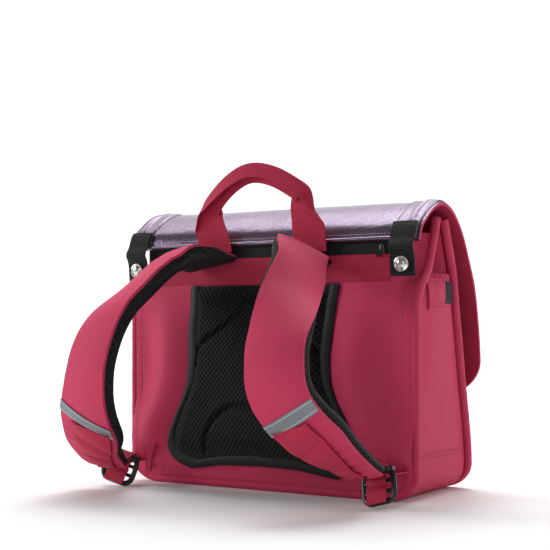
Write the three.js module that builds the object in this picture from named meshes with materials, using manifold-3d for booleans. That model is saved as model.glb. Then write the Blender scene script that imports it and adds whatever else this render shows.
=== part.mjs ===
// School ransel: a box-shaped satchel with a flap, a carry handle and two padded shoulder straps.
// Millimetres. +Z is up, +X is the wearer's right with the back panel seen from behind, and the
// back panel faces -Y. The origin is the middle of the base, on the surface that it stands on.
import * as THREE from "three";
import Module from "manifold-3d";
import { mergeVertices } from "three/addons/utils/BufferGeometryUtils.js";

// Body
const WIDTH = 362; // across the gusset cloth
const DEPTH = 150; // front to back over the rolled edges, at the base
const SIDE_TOP = 302; // top of the pinched sides
const CORNER = 28; // radius of the gusset's bottom corners
const CLOTH = 2; // coated polyester with its backing
const PANEL = 8; // board and foam of the back panel at its edge
const FRONT_PANEL = 3;
const ROLL = 5.5; // radius of the rolled seam edges
const ROLL_OUT = 3.5; // the roll's centre line stands this far outside the gusset
const SWELL = 13; // how far the back panel swells beside the pad
const SINK = 24; // how far the pinched side folds inwards at its top
const GAP = 0.3; // between neighbouring pieces

// Bands over the top of the back
const BAND_HIGH = SIDE_TOP - 40;
const BAND_LOW = BAND_HIGH - 29;
const STRIP_HIGH = BAND_HIGH + 14;
const BAND_END = WIDTH / 2 - 23; // half length of both bands
const LEAN_FROM = BAND_END + 2; // beyond this the panel's upper corners lean in with the sides
const WEBBING = 1.5; // thickness of every woven band

// Flap
const FLAP_HALF = WIDTH / 2 + 9;
const FLAP_SHIFT = 4; // the flap and handle are sewn this far to the wearer's right of the middle
const FLAP = 5; // padded leatherette with its lining
const FLAP_REAR = STRIP_HIGH; // height of the rear edge
const FLAP_TOP = SIDE_TOP + 18;
const FLAP_FRONT = DEPTH / 2 + 11; // outer face of the hanging front
const FLAP_END = 108; // lower edge of the front
const FLAP_CORNER = 38; // radius of the two lower corners
const BORDER = 29; // width of the raised side borders
const BORDER_THICK = 1.5;
const BORDER_EDGE = 2; // flap left bare outside the border
const WELT = 4;
const CLASP = { width: 34, height: 30, thick: 4, x: 95, z: FLAP_END + 27 };

// Back pad
const PAD_TOP = BAND_LOW - 2;
const PAD_FOOT = 20;
const PAD_HALF = 127; // at its widest, over the binding
const PAD_THICK = 8;
const CHANNEL = 4; // depth of the sewn channels
const CHANNEL_HALF = 6;
const BINDING = 11;
const BINDING_THICK = 2.5;

// Side pocket and base
const BASE_WRAP_TOP = 50;
const POCKET_TOP = SIDE_TOP - 61;
const POCKET_SWELL = 5;
const PATCH = { back: 35 - DEPTH / 2, front: DEPTH / 2 - 73, low: POCKET_TOP - 38, high: POCKET_TOP - 4 };
const SIDE_BAND = { back: PATCH.front + 1, front: DEPTH / 2 - 56, low: POCKET_TOP - 31, high: POCKET_TOP - 7 };
const STUD = { radius: 3.5, height: 2 };
const STUD_DOWN = 18; // its centre below the top of the side

// Front pocket
const FRONT_POCKET_HALF = WIDTH / 2 - 31;
const FRONT_POCKET_LOW = 48;
const FRONT_POCKET_HIGH = 165;
const FRONT_POCKET_FACE = DEPTH / 2 - 3; // y of its outer face

// Straps
const STRAP_WIDTH = 60;
const STRAP_COVER = 5.5;
const STRAP_MESH = 12;
const STRAP_CROWN = 3.5;
const STRAP_ROOT = { x: 57, z: BAND_HIGH - 1 };
const STRAP_REACH = 164; // how far the strap stands out from the back
const TIP_X = WIDTH / 2 - 15;
const TAPE = { right: 0.73, left: 0.758, tall: 13, slant: 0.013, thick: 0.8 };
const STRAP_BAND = { width: 26, after: 0.028, short: 0.015, side: -0.18 };
const LIFT = { right: 9, left: 0 }; // the straps' lower ends hang at slightly different heights

// Ladder lock and lower webbing
const LOCK = { width: 45, length: 36, thick: 5, wall: 6, bar: 4 };
const LOCK_AT = { x: WIDTH / 2 - 13, y: -DEPTH / 2 - 46, z: 11 };
const LOCK_RISE = 0.2; // the lock climbs this much towards the bag
const LOWER_BAND = { width: 25, tail: 26 };
const ANCHOR = { x: WIDTH / 2 - 9, low: 16, top: 47, side: 31, foot: 12, out: 4, thick: 3 };

// Tabs on the flap's rear corners
const TAB = {
  inner: FLAP_HALF - 30, outer: FLAP_HALF - 4, kick: 8, low: BAND_HIGH - 24, stud: BAND_HIGH - 11.5, cap: 6.5, cap_high: 3,
};

// Handle
const HANDLE = { half: 60, root: BAND_HIGH + 8, top: FLAP_TOP + 44, web: 40, grip: 14, grip_thick: 8, lean: 12 };

// Zip
const SLIDER = { x: BAND_END - 6, z: BAND_HIGH + 1, width: 8, height: 10, thick: 3 };
const PULL = { width: 5, height: 15, thick: 1.6 };

// Shares of the side's height and of the depth: how far each rolled edge leans in, and how far the
// cloth between them folds inwards.
const SIDE_PROFILE = [
  { up: 0.00, back: 0.000, front: 0.000, sink: 0.00 },
  { up: 0.13, back: 0.000, front: 0.013, sink: 0.00 },
  { up: 0.27, back: 0.000, front: 0.060, sink: 0.03 },
  { up: 0.41, back: 0.000, front: 0.130, sink: 0.05 },
  { up: 0.56, back: 0.000, front: 0.190, sink: 0.05 },
  { up: 0.68, back: 0.004, front: 0.245, sink: 0.08 },
  { up: 0.74, back: 0.055, front: 0.266, sink: 0.15 },
  { up: 0.81, back: 0.185, front: 0.300, sink: 0.42 },
  { up: 0.90, back: 0.270, front: 0.370, sink: 0.80 },
  { up: 1.00, back: 0.345, front: 0.455, sink: 1.00 },
];

// Across the gusset, from the back roll to the front roll: share of the fold's depth.
const FOLD = [
  { across: 0.00, deep: 0.00 },
  { across: 0.12, deep: 0.25 },
  { across: 0.32, deep: 0.85 },
  { across: 0.50, deep: 1.00 },
  { across: 0.68, deep: 0.85 },
  { across: 0.88, deep: 0.25 },
  { across: 1.00, deep: 0.00 },
];

// Swell of the back panel: by height, a share of the strip's height, and across, of the half width.
const SWELL_UP = [
  { up: 0.04, share: 0.00 },
  { up: 0.14, share: 0.40 },
  { up: 0.32, share: 0.85 },
  { up: 0.50, share: 1.00 },
  { up: 0.64, share: 0.78 },
  { up: 0.72, share: 0.30 },
  { up: 0.78, share: 0.00 },
];
const SWELL_ACROSS = [
  { across: 0.00, share: 0.70 },
  { across: 0.35, share: 0.75 },
  { across: 0.55, share: 0.95 },
  { across: 0.66, share: 1.00 },
  { across: 0.82, share: 0.55 },
  { across: 1.00, share: 0.00 },
];

// Half width of the back pad by height, and its lower edge by share of the half width.
const PAD_SIDES = [
  { up: 0.00, half: 0.76 },
  { up: 0.03, half: 0.90 },
  { up: 0.08, half: 0.98 },
  { up: 0.13, half: 1.00 },
  { up: 0.20, half: 0.965 },
  { up: 0.30, half: 0.885 },
  { up: 0.40, half: 0.800 },
  { up: 0.50, half: 0.745 },
  { up: 0.61, half: 0.730 },
  { up: 0.75, half: 0.745 },
  { up: 0.90, half: 0.757 },
  { up: 1.00, half: 0.775 },
];
const PAD_EDGE = [
  { across: 0.00, rise: 0.040 },
  { across: 0.40, rise: 0.033 },
  { across: 0.75, rise: 0.012 },
  { across: 1.00, rise: 0.000 },
];

// Centre of the strap's outer face, from its root to the lock: shares of the way out to the tip, of
// the reach and of the root's height, with its width and thickness.
const STRAP_COURSE = [
  { out: 0.000, reach: 0.000, up: 1.000, wide: 0.98, thick: 0.35 },
  { out: 0.035, reach: 0.065, up: 1.020, wide: 0.98, thick: 0.70 },
  { out: 0.110, reach: 0.150, up: 1.045, wide: 0.98, thick: 1.00 },
  { out: 0.205, reach: 0.255, up: 1.047, wide: 0.98, thick: 1.00 },
  { out: 0.300, reach: 0.355, up: 1.008, wide: 0.99, thick: 1.00 },
  { out: 0.380, reach: 0.450, up: 0.954, wide: 1.00, thick: 1.00 },
  { out: 0.430, reach: 0.612, up: 0.878, wide: 1.00, thick: 1.00 },
  { out: 0.478, reach: 0.776, up: 0.802, wide: 1.00, thick: 1.00 },
  { out: 0.492, reach: 0.888, up: 0.725, wide: 1.00, thick: 1.00 },
  { out: 0.500, reach: 0.958, up: 0.649, wide: 1.00, thick: 1.00 },
  { out: 0.522, reach: 0.994, up: 0.565, wide: 1.00, thick: 1.00 },
  { out: 0.545, reach: 1.000, up: 0.496, wide: 1.00, thick: 1.00 },
  { out: 0.600, reach: 0.970, up: 0.420, wide: 1.00, thick: 1.00 },
  { out: 0.680, reach: 0.897, up: 0.344, wide: 1.00, thick: 0.98 },
  { out: 0.770, reach: 0.788, up: 0.267, wide: 1.02, thick: 0.92 },
  { out: 0.860, reach: 0.673, up: 0.191, wide: 1.00, thick: 0.82 },
  { out: 0.940, reach: 0.545, up: 0.130, wide: 0.94, thick: 0.70 },
  { out: 1.000, reach: 0.440, up: 0.095, wide: 0.84, thick: 0.55 },
];

// Outer face of the flap seen from the side, from its rear edge to the front one: shares of the way
// to the front face and of the height between the rear edge and the top, or down to the lower edge.
const FLAP_COURSE = [
  { ahead: 0.000, up: 0.00 },
  { ahead: 0.040, up: 0.34 },
  { ahead: 0.125, up: 0.62 },
  { ahead: 0.215, up: 0.83 },
  { ahead: 0.310, up: 0.97 },
  { ahead: 0.395, up: 1.00 },
  { ahead: 0.515, up: 0.86 },
  { ahead: 0.620, up: 0.58 },
  { ahead: 0.715, up: 0.18 },
  { ahead: 0.800, up: -0.35 },
  { ahead: 0.890, up: -0.98 },
  { ahead: 0.945, up: -1.68 },
  { ahead: 0.985, up: -2.50 },
  { ahead: 1.000, up: -3.10 },
  { ahead: 0.990, up: -3.82 },
];

// The handle from its root to its middle: shares of the half span and of the height.
const HANDLE_COURSE = [
  { across: 1.00, up: 0.00, lean: 0.00, wide: 1.00, thick: 0.25 },
  { across: 1.03, up: 0.10, lean: 0.02, wide: 1.00, thick: 0.25 },
  { across: 1.11, up: 0.26, lean: 0.15, wide: 0.98, thick: 0.28 },
  { across: 1.12, up: 0.42, lean: 0.35, wide: 0.80, thick: 0.45 },
  { across: 1.00, up: 0.58, lean: 0.60, wide: 0.45, thick: 0.85 },
  { across: 0.76, up: 0.74, lean: 0.85, wide: 0.10, thick: 1.00 },
  { across: 0.45, up: 0.87, lean: 0.95, wide: 0.00, thick: 1.00 },
  { across: 0.00, up: 0.93, lean: 1.00, wide: 0.00, thick: 1.00 },
];

const finish = (color, roughness, metalness = 0) =>
  new THREE.MeshStandardMaterial({ color, roughness, metalness });
const PINK = finish(0xb84060, 0.65);
const PINK_BAND = finish(0xa8304f, 0.7);
const BLACK_MESH = finish(0x1c1c1c, 0.9);
const BLACK_BAND = finish(0x202221, 0.75);
const PLASTIC = finish(0x191a1a, 0.4);
const LEATHERETTE = finish(0xb89ab4, 0.35, 0.6);
const TAPE_GREY = finish(0x8b9297, 0.45);
const SILVER = finish(0xd0d0d0, 0.25, 1);

const bag = new THREE.Group();
const BACK = -DEPTH / 2;
const ROLL_LIFT = ROLL_OUT + ROLL - CLOTH - GAP; // keeps the roll under the base off the floor
const GUSSET_FLOOR = CLOTH + GAP;
const PANEL_HALF = WIDTH / 2 + ROLL_OUT - ROLL - GAP;
const PANEL_FLOOR = GUSSET_FLOOR - ROLL_OUT + ROLL_LIFT + ROLL + GAP;
const STEPS = (count) => Array.from({ length: count + 1 }, (_, i) => i / count);
const mix = THREE.MathUtils.lerp;
const smooth = THREE.MathUtils.smoothstep;
const vec = (x, y, z) => new THREE.Vector3(x, y, z);

// One column of a table at a place along its first column, on a smooth curve that never overshoots.
function read(table, along, column, at) {
  const last = table.length - 1;
  if (at <= table[0][along]) return table[0][column];
  if (at >= table[last][along]) return table[last][column];
  const i = table.findIndex((row) => row[along] > at) - 1;
  const rise = (k) => (table[k + 1][column] - table[k][column]) / (table[k + 1][along] - table[k][along]);
  const slope = (k) => {
    if (k === 0) return rise(0);
    if (k === last) return rise(last - 1);
    const [before, after] = [rise(k - 1), rise(k)];
    return before * after <= 0 ? 0 : (2 * before * after) / (before + after);
  };
  const width = table[i + 1][along] - table[i][along];
  const t = (at - table[i][along]) / width;
  const [a, b] = [table[i][column], table[i + 1][column]];
  return a + (b - a) * t * t * (3 - 2 * t)
    + width * t * (1 - t) * (slope(i) * (1 - t) - slope(i + 1) * t);
}

// A closed body between two grids of points with the same rows and columns.
function shell(outer, inner) {
  const rows = outer.length;
  const cols = outer[0].length;
  const points = [...outer.flat(), ...inner.flat()];
  const index = [];
  const quad = (a, b, c, d) => index.push(a, b, c, a, c, d);
  const at = (i, j) => i * cols + j;
  const under = rows * cols;
  for (let i = 0; i < rows - 1; i++) {
    for (let j = 0; j < cols - 1; j++) {
      const [a, b, c, d] = [at(i, j), at(i + 1, j), at(i + 1, j + 1), at(i, j + 1)];
      const first = 2 * j < cols - 1;
      quad(...(first ? [a, b, c, d] : [b, c, d, a]));
      quad(...(first ? [a, d, c, b] : [b, a, d, c]).map((k) => under + k));
    }
    quad(at(i, 0), under + at(i, 0), under + at(i + 1, 0), at(i + 1, 0));
    quad(at(i + 1, cols - 1), under + at(i + 1, cols - 1), under + at(i, cols - 1), at(i, cols - 1));
  }
  for (let j = 0; j < cols - 1; j++) {
    quad(at(0, j + 1), under + at(0, j + 1), under + at(0, j), at(0, j));
    quad(at(rows - 1, j), under + at(rows - 1, j), under + at(rows - 1, j + 1), at(rows - 1, j + 1));
  }
  const geometry = new THREE.BufferGeometry();
  geometry.setAttribute("position", new THREE.Float32BufferAttribute(points.flatMap((p) => p.toArray()), 3));
  geometry.setIndex(index);
  return facingOut(geometry);
}

// Turns every triangle over if the body's volume comes out negative.
function facingOut(geometry) {
  const p = geometry.attributes.position;
  const index = geometry.index.array;
  const corner = (k) => vec().fromBufferAttribute(p, index[k]);
  let volume = 0;
  for (let k = 0; k < index.length; k += 3) {
    volume += corner(k).dot(corner(k + 1).cross(corner(k + 2)));
  }
  if (volume < 0) {
    for (let k = 0; k < index.length; k += 3) {
      [index[k], index[k + 1]] = [index[k + 1], index[k]];
    }
  }
  geometry.computeVertexNormals();
  return geometry;
}

// Normals of a grid of points, one for each point.
function gridNormals(grid) {
  const clamp = (value, top) => Math.min(Math.max(value, 0), top);
  return grid.map((row, i) => row.map((_, j) => {
    const along = grid[clamp(i + 1, grid.length - 1)][j].clone().sub(grid[clamp(i - 1, grid.length - 1)][j]);
    const across = row[clamp(j + 1, row.length - 1)].clone().sub(row[clamp(j - 1, row.length - 1)]);
    return along.cross(across).normalize();
  }));
}

// A sheet of even thickness: the grid is its shown face, and side picks where the thickness goes.
function sheet(grid, thick, side = 1) {
  const normals = gridNormals(grid);
  return shell(grid, grid.map((row, i) => row.map((p, j) => p.clone().addScaledVector(normals[i][j], side * thick))));
}

// Cuts and joins. A body is turned into a solid with its shared corners merged, and back.
const manifold = await Module();
manifold.setup();

function solid(geometry) {
  const bare = geometry.clone();
  bare.deleteAttribute("normal");
  bare.deleteAttribute("uv");
  const merged = mergeVertices(bare, 1e-4);
  return new manifold.Manifold(new manifold.Mesh({
    numProp: 3,
    vertProperties: new Float32Array(merged.attributes.position.array),
    triVerts: new Uint32Array(merged.index.array),
  }));
}

function cut(geometry, ...blocks) {
  const rest = blocks.reduce((body, block) => body.subtract(solid(block)), solid(geometry));
  const mesh = rest.getMesh();
  const result = new THREE.BufferGeometry();
  result.setAttribute("position", new THREE.Float32BufferAttribute(mesh.vertProperties, 3));
  result.setIndex([...mesh.triVerts]);
  result.computeVertexNormals();
  return result;
}

// Everything in front of a plane of constant y, as a block to cut a flat end with.
function behind(y) {
  return new THREE.BoxGeometry(2 * WIDTH, DEPTH, 2 * SIDE_TOP).translate(0, y + DEPTH / 2, SIDE_TOP / 2);
}

function grid(rows, cols, place) {
  return rows.map((u) => cols.map((v) => place(u, v)));
}

function mirrored(geometry) {
  const copy = geometry.clone().scale(-1, 1, 1);
  return facingOut(copy.index ? copy : withIndex(copy));
}

function withIndex(geometry) {
  geometry.setIndex([...Array(geometry.attributes.position.count).keys()]);
  return geometry;
}

function add(name, geometry, material) {
  if (ON_FLAP.test(name)) geometry.translate(FLAP_SHIFT, 0, 0);
  const mesh = new THREE.Mesh(geometry, material);
  mesh.name = name;
  bag.add(mesh);
}

const ON_FLAP = /^(flap|corner_tab|tab_snap)/;

// The same piece on the wearer's right side and, mirrored, on the left.
function addPair(name, make, material) {
  add(`${name}_right`, make(LIFT.right), material);
  add(`${name}_left`, mirrored(make(LIFT.left)), material);
}

// Outermost line of each rolled edge at a height.
const backEdge = (z) => BACK + DEPTH * read(SIDE_PROFILE, "up", "back", z / SIDE_TOP);
const frontEdge = (z) => -BACK - DEPTH * read(SIDE_PROFILE, "up", "front", z / SIDE_TOP);

// Stations down the right side, round the bottom and up the left side, a distance outside the gusset.
function aroundTheBag(out, top, sideSteps = 10, cornerSteps = 5, baseSteps = 2) {
  const half = WIDTH / 2 + out;
  const floor = GUSSET_FLOOR - out;
  const radius = CORNER + out;
  const right = STEPS(sideSteps).map((t) => ({ x: half, z: mix(top, floor + radius, t), nx: 1, nz: 0 }));
  for (const t of STEPS(cornerSteps).slice(1)) {
    const [c, s] = [Math.cos(t * Math.PI / 2), Math.sin(t * Math.PI / 2)];
    right.push({ x: half - radius + radius * c, z: floor + radius - radius * s, nx: c, nz: -s });
  }
  const flat = half - radius;
  const base = STEPS(baseSteps).slice(1, -1).map((t) => ({ x: mix(flat, -flat, t), z: floor, nx: 0, nz: -1 }));
  const left = right.toReversed().map((p) => ({ ...p, x: -p.x, nx: -p.nx }));
  return [...right, ...base, ...left];
}

// Gusset and what lies on it
function gusset() {
  return sheet(aroundTheBag(0, SIDE_TOP).map((p) => {
    const deep = SINK * read(SIDE_PROFILE, "up", "sink", p.z / SIDE_TOP);
    const [from, to] = span(p.z);
    return FOLD.map((f) => vec(p.x - p.nx * deep * f.deep, mix(from, to, f.across), p.z - p.nz * deep * f.deep));
  }), CLOTH, -1);
}

function baseWrap() {
  return sheet(aroundTheBag(CLOTH + GAP, BASE_WRAP_TOP, 3, 5, 4).map((p) =>
    STEPS(3).map((t) => vec(p.x, mix(...span(p.z), t), p.z))), CLOTH, -1);
}

// Depth from a rolled edge's outermost line to the cloth beside it, more where the edge slants.
function away(edge, z) {
  const slope = (edge(z + 1) - edge(z - 1)) / 2;
  return ROLL + ROLL * Math.hypot(1, slope) + 2 * GAP;
}

// Where the cloth runs between the two rolled edges at a height.
const span = (z) => [backEdge(z) + away(backEdge, z), frontEdge(z) - away(frontEdge, z)];

// A rolled edge: a fat cord of rolled cloth round the bag, with eight sides.
function rolledEdge(edge, inward) {
  const path = aroundTheBag(ROLL_OUT, SIDE_TOP)
    .map((p) => ({ ...p, at: vec(p.x, edge(p.z) + inward * ROLL, p.z + ROLL_LIFT * Math.max(0, -p.nz)) }));
  const ring = (angles) => path.map((p, i) => {
    const [before, after] = [path[Math.max(0, i - 1)].at, path[Math.min(path.length - 1, i + 1)].at];
    const along = after.clone().sub(before).normalize();
    const out = vec(p.nx, 0, p.nz).addScaledVector(along, -along.dot(vec(p.nx, 0, p.nz))).normalize();
    const side = along.clone().cross(out);
    return angles.map((a) => p.at.clone()
      .addScaledVector(out, ROLL * Math.cos(a)).addScaledVector(side, ROLL * Math.sin(a)));
  });
  const eighths = [-1.5, -0.5, 0.5, 1.5].map((k) => k * Math.PI / 4);
  return shell(ring(eighths), ring(eighths.map((a) => Math.PI - a)));
}

function sidePocket() {
  const low = BASE_WRAP_TOP + GAP;
  return sheet(grid(STEPS(9), STEPS(6), (u, v) => {
    const z = mix(low, POCKET_TOP, u);
    const swell = POCKET_SWELL * u * Math.sin(Math.PI * v) + GAP + CLOTH;
    const [from, to] = span(z);
    const y = mix(from + GAP, to - GAP, v);
    return vec(WIDTH / 2 + swell, y, z);
  }), CLOTH);
}

// A flat piece that lies on the side pocket.
function onPocket(place, thick) {
  return sheet(grid(STEPS(3), STEPS(4), (u, v) => {
    const z = mix(place.low, place.high, u);
    const y = mix(place.back, place.front, v);
    const [from, to] = span(z);
    const t = (y - from) / (to - from);
    const swell = POCKET_SWELL * Math.sin(Math.PI * t) * (z - BASE_WRAP_TOP) / (POCKET_TOP - BASE_WRAP_TOP);
    return vec(WIDTH / 2 + swell + 3 * GAP + CLOTH + thick, y, z);
  }), thick);
}

// Back panel: board and foam, swollen beside the pad, its upper corners leaning in with the sides.
const cornerLean = (x, z) => (backEdge(z) - BACK) * smooth(Math.abs(x), LEAN_FROM, PANEL_HALF);

function backFace(x, z) {
  const up = read(SWELL_UP, "up", "share", z / STRIP_HIGH);
  const across = read(SWELL_ACROSS, "across", "share", Math.abs(x) / PANEL_HALF);
  return BACK + cornerLean(x, z) - SWELL * up * across;
}

// Half width of a panel that is rounded at its bottom corners.
function panelHalf(z) {
  const radius = CORNER - ROLL;
  const down = Math.max(0, PANEL_FLOOR + radius - z);
  return PANEL_HALF - radius + Math.sqrt(Math.max(0, radius * radius - down * down));
}

const PANEL_ROWS = [0, 0.008, 0.03, 0.08, 0.16, 0.27, 0.38, 0.49, 0.60, 0.70, 0.78, 0.86, 0.93, 1];
const PANEL_COLS = [-1, -0.95, -0.88, -0.80, -0.68, -0.55, -0.36, -0.18, 0];
const BOTH_WAYS = [...PANEL_COLS, ...PANEL_COLS.slice(0, -1).toReversed().map((c) => -c)];

function backPanel() {
  const place = (face) => grid(PANEL_ROWS, BOTH_WAYS, (u, v) => {
    const top = mix(STRIP_HIGH - CLOTH, SIDE_TOP - 3 * ROLL, smooth(Math.abs(v), 0.90, 0.97));
    const z = mix(PANEL_FLOOR, top, u);
    const x = v * panelHalf(z);
    return vec(x, face(x, z), z);
  });
  return { place, face: place(backFace), inside: place((x, z) => BACK + cornerLean(x, z) + PANEL) };
}

const BACK_PANEL = backPanel();
// What lies on the back panel is cut to its face with this, a gap off it.
const OFF_BACK = shell(BACK_PANEL.place((x, z) => backFace(x, z) - GAP), BACK_PANEL.inside);

function frontPanel() {
  const place = (back) => grid(PANEL_ROWS, [-1, -0.8, -0.4, 0, 0.4, 0.8, 1], (u, v) => {
    const z = mix(PANEL_FLOOR, SIDE_TOP - ROLL, u);
    return vec(v * panelHalf(z), frontEdge(z) - CLOTH - back, z);
  });
  return place;
}

const FRONT_FACE = frontPanel();
const OFF_FRONT = shell(FRONT_FACE(-GAP), FRONT_FACE(FRONT_PANEL));

function frontPocket() {
  return cut(sheet(grid(STEPS(7), [-1, -0.97, -0.9, -0.8, 0, 0.8, 0.9, 0.97, 1], (u, v) => {
    const z = mix(FRONT_POCKET_LOW, FRONT_POCKET_HIGH, u);
    const foot = frontEdge(z) - GAP;
    const full = Math.max(0, FRONT_POCKET_FACE - foot);
    const open = smooth(1 - Math.abs(v), 0, 0.12) * smooth(u, -0.01, 0.2);
    return vec(v * FRONT_POCKET_HALF, foot + full * open, z);
  }), CLOTH, -1), OFF_FRONT);
}

// Bands across the back
function bandOnBack(low, high) {
  return new THREE.BoxGeometry(2 * BAND_END, WEBBING, high - low)
    .translate(0, BACK - GAP - WEBBING / 2, (low + high) / 2);
}

// The zip's slider on the black strip, and its pull hanging on the band below.
const ON_BAND = BACK - 2 * GAP - WEBBING;

function zipSlider() {
  return new THREE.BoxGeometry(SLIDER.width, SLIDER.thick, SLIDER.height)
    .translate(SLIDER.x, ON_BAND - SLIDER.thick / 2, SLIDER.z);
}

function zipPull() {
  return new THREE.BoxGeometry(PULL.width, PULL.thick, PULL.height)
    .translate(SLIDER.x, ON_BAND - PULL.thick / 2, SLIDER.z - (SLIDER.height + PULL.height) / 2 - GAP);
}

// Back pad and its binding
function padPoint(across, up, inset, off) {
  const foot = PAD_FOOT + inset + (PAD_TOP - PAD_FOOT) * read(PAD_EDGE, "across", "rise", Math.abs(across));
  const z = mix(foot, PAD_TOP, up);
  const share = (z - PAD_FOOT - inset) / (PAD_TOP - PAD_FOOT - inset);
  const x = across * (PAD_HALF * read(PAD_SIDES, "up", "half", share) - inset);
  return vec(x, backFace(x, z) - GAP - off, z);
}

// Depth of the sewn channels at a point of the pad: two that curve out from the top, and an arch.
function channel(x, z) {
  const side = Math.abs(x);
  const wing = mix(0.13, 0.66, Math.pow(smooth(PAD_TOP - z, 0, PAD_TOP * 0.36), 1.6)) * PAD_HALF;
  const upper = z > PAD_TOP * 0.60 ? Math.abs(side - wing) : CHANNEL_HALF * 2;
  const archHalf = PAD_HALF * 0.60;
  const archRise = (PAD_TOP * 0.42 - PAD_FOOT) * Math.sqrt(Math.max(0, 1 - Math.pow(side / archHalf, 3)));
  const lower = side < archHalf ? Math.abs(z - PAD_FOOT - archRise) : CHANNEL_HALF * 2;
  return CHANNEL * (1 - smooth(Math.min(upper, lower), 0, CHANNEL_HALF));
}

const PAD_ROOT = 3; // the pieces on the panel are drawn this deep into it, then cut to its face
const PAD_COLS = STEPS(16).map((t) => 2 * t - 1);

function backPad() {
  const place = (raised) => grid(STEPS(15), PAD_COLS, (u, v) => {
    const flat = padPoint(v, u, BINDING, 0);
    const rim = Math.min(1 - Math.abs(v), u, 1 - u);
    const thick = mix(BINDING_THICK, PAD_THICK, smooth(rim, 0, 0.14)) - channel(flat.x, flat.z) * smooth(rim, 0, 0.1);
    return padPoint(v, u, BINDING, raised ? thick : -PAD_ROOT);
  });
  return cut(shell(place(true), place(false)), OFF_BACK);
}

function padBinding() {
  const down = [1, 0.9, 0.78, 0.66, 0.55, 0.45, 0.36, 0.28, 0.2, 0.14, 0.09, 0.05, 0.02];
  const rim = [
    ...down.map((u) => [1, u]), [1, 0], [0.85, 0], [0.65, 0], [0.4, 0], [0.15, 0],
    [-0.15, 0], [-0.4, 0], [-0.65, 0], [-0.85, 0], [-1, 0], ...down.toReversed().map((u) => [-1, u]),
  ];
  const place = (thick) => rim.map(([v, u]) => [0, BINDING - 3 * GAP].map((inset) => padPoint(v, u, inset, thick)));
  return cut(shell(place(BINDING_THICK), place(-PAD_ROOT)), OFF_BACK);
}

// Flap: its outer face by the share of the way from the rear edge to the front one.
const FLAP_START = BACK - 3 * GAP - WEBBING - FLAP;
const FLAP_CURVE = new THREE.CatmullRomCurve3(FLAP_COURSE.map((row) => {
  const drop = (FLAP_REAR - FLAP_END) / -FLAP_COURSE.at(-1).up;
  const z = FLAP_REAR + row.up * (row.up > 0 ? FLAP_TOP - FLAP_REAR : drop);
  return vec(0, mix(FLAP_START, FLAP_FRONT, row.ahead), z);
}), false, "centripetal");

// A point of the flap's outer face, a distance off it: x across and t along from rear to front.
function flapPoint(x, t, off) {
  const p = FLAP_CURVE.getPointAt(t);
  const d = FLAP_CURVE.getTangentAt(t);
  return vec(x, p.y - d.z * off, p.z + d.y * off);
}

// Half width of the flap, less an inset, with its two lower corners rounded.
function flapHalf(t, inset) {
  const left = (1 - t) * FLAP_CURVE.getLength() - inset;
  const radius = FLAP_CORNER - inset;
  const into = Math.max(0, radius - left);
  return FLAP_HALF - inset - radius + Math.sqrt(Math.max(0, radius * radius - into * into));
}

const FLAP_ROWS = [...STEPS(20).map((t) => t * 0.9), 0.93, 0.955, 0.975, 0.99, 1];

function flap() {
  const place = (off) => grid(FLAP_ROWS, STEPS(6).map((t) => 2 * t - 1), (t, v) => flapPoint(v * flapHalf(t, 0), t, off));
  return shell(place(0), place(-FLAP));
}

function flapBorder() {
  const rows = FLAP_ROWS.filter((t) => t < 0.98);
  const place = (off) => grid(rows, [0, 1], (t, v) => {
    const outer = flapHalf(t, BORDER_EDGE);
    return flapPoint(outer - (1 - v) * BORDER, t, off);
  });
  return shell(place(GAP + BORDER_THICK), place(GAP));
}

function flapWelt() {
  const half = FLAP_HALF - BORDER_EDGE - BORDER - GAP;
  const ends = [0, WELT / FLAP_CURVE.getLength()];
  const place = (off) => grid(ends, [-half, 0, half], (t, x) => flapPoint(x, t, off));
  return shell(place(GAP + BORDER_THICK), place(GAP));
}

function flapClasp() {
  return new THREE.BoxGeometry(CLASP.width, CLASP.thick, CLASP.height)
    .translate(CLASP.x, FLAP_FRONT + 2 * GAP + CLASP.thick / 2, CLASP.z);
}

// Webbing of one width along a path in the YZ plane
function band(path, from, to, thick) {
  const place = (off) => path.map(([y, z], i) => {
    const [a, b] = [path[Math.max(0, i - 1)], path[Math.min(path.length - 1, i + 1)]];
    const run = Math.hypot(b[0] - a[0], b[1] - a[1]);
    const [ny, nz] = [(b[1] - a[1]) / run, -(b[0] - a[0]) / run];
    return [from, to].map((x) => vec(x, y + ny * off, z + nz * off));
  });
  return shell(place(0), place(thick));
}

const TAB_OFF = 2 * GAP + BORDER_THICK;
const TAB_EDGE = flapPoint(0, 0, TAB_OFF);

function cornerTab() {
  const upper = [0.052, 0.03, 0.012, 0].map((t) => flapPoint(0, t, TAB_OFF)).map((p) => [p.y, p.z]);
  const kick = [TAB_EDGE.y - TAB.kick * 0.6, TAB_EDGE.z - TAB.kick];
  const hang = [TAB_EDGE.y - TAB.kick * 0.1, mix(TAB_EDGE.z, TAB.low, 0.45)];
  const end = [TAB_EDGE.y + TAB.kick * 0.2, TAB.low];
  return band([...upper, kick, hang, end], TAB.inner, TAB.outer, WEBBING);
}

function stud(radius, height) {
  const dome = [[0, 0], [radius, 0], [radius, height * 0.4], [radius * 0.7, height * 0.9], [0, height]];
  return new THREE.LatheGeometry(dome.map(([r, h]) => new THREE.Vector2(r, h)), 12);
}

function tabSnap() {
  const y = TAB_EDGE.y - TAB.kick * 0.1 - WEBBING - GAP;
  return stud(TAB.cap, TAB.cap_high).rotateX(Math.PI).translate((TAB.inner + TAB.outer) / 2, y, TAB.stud);
}

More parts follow.
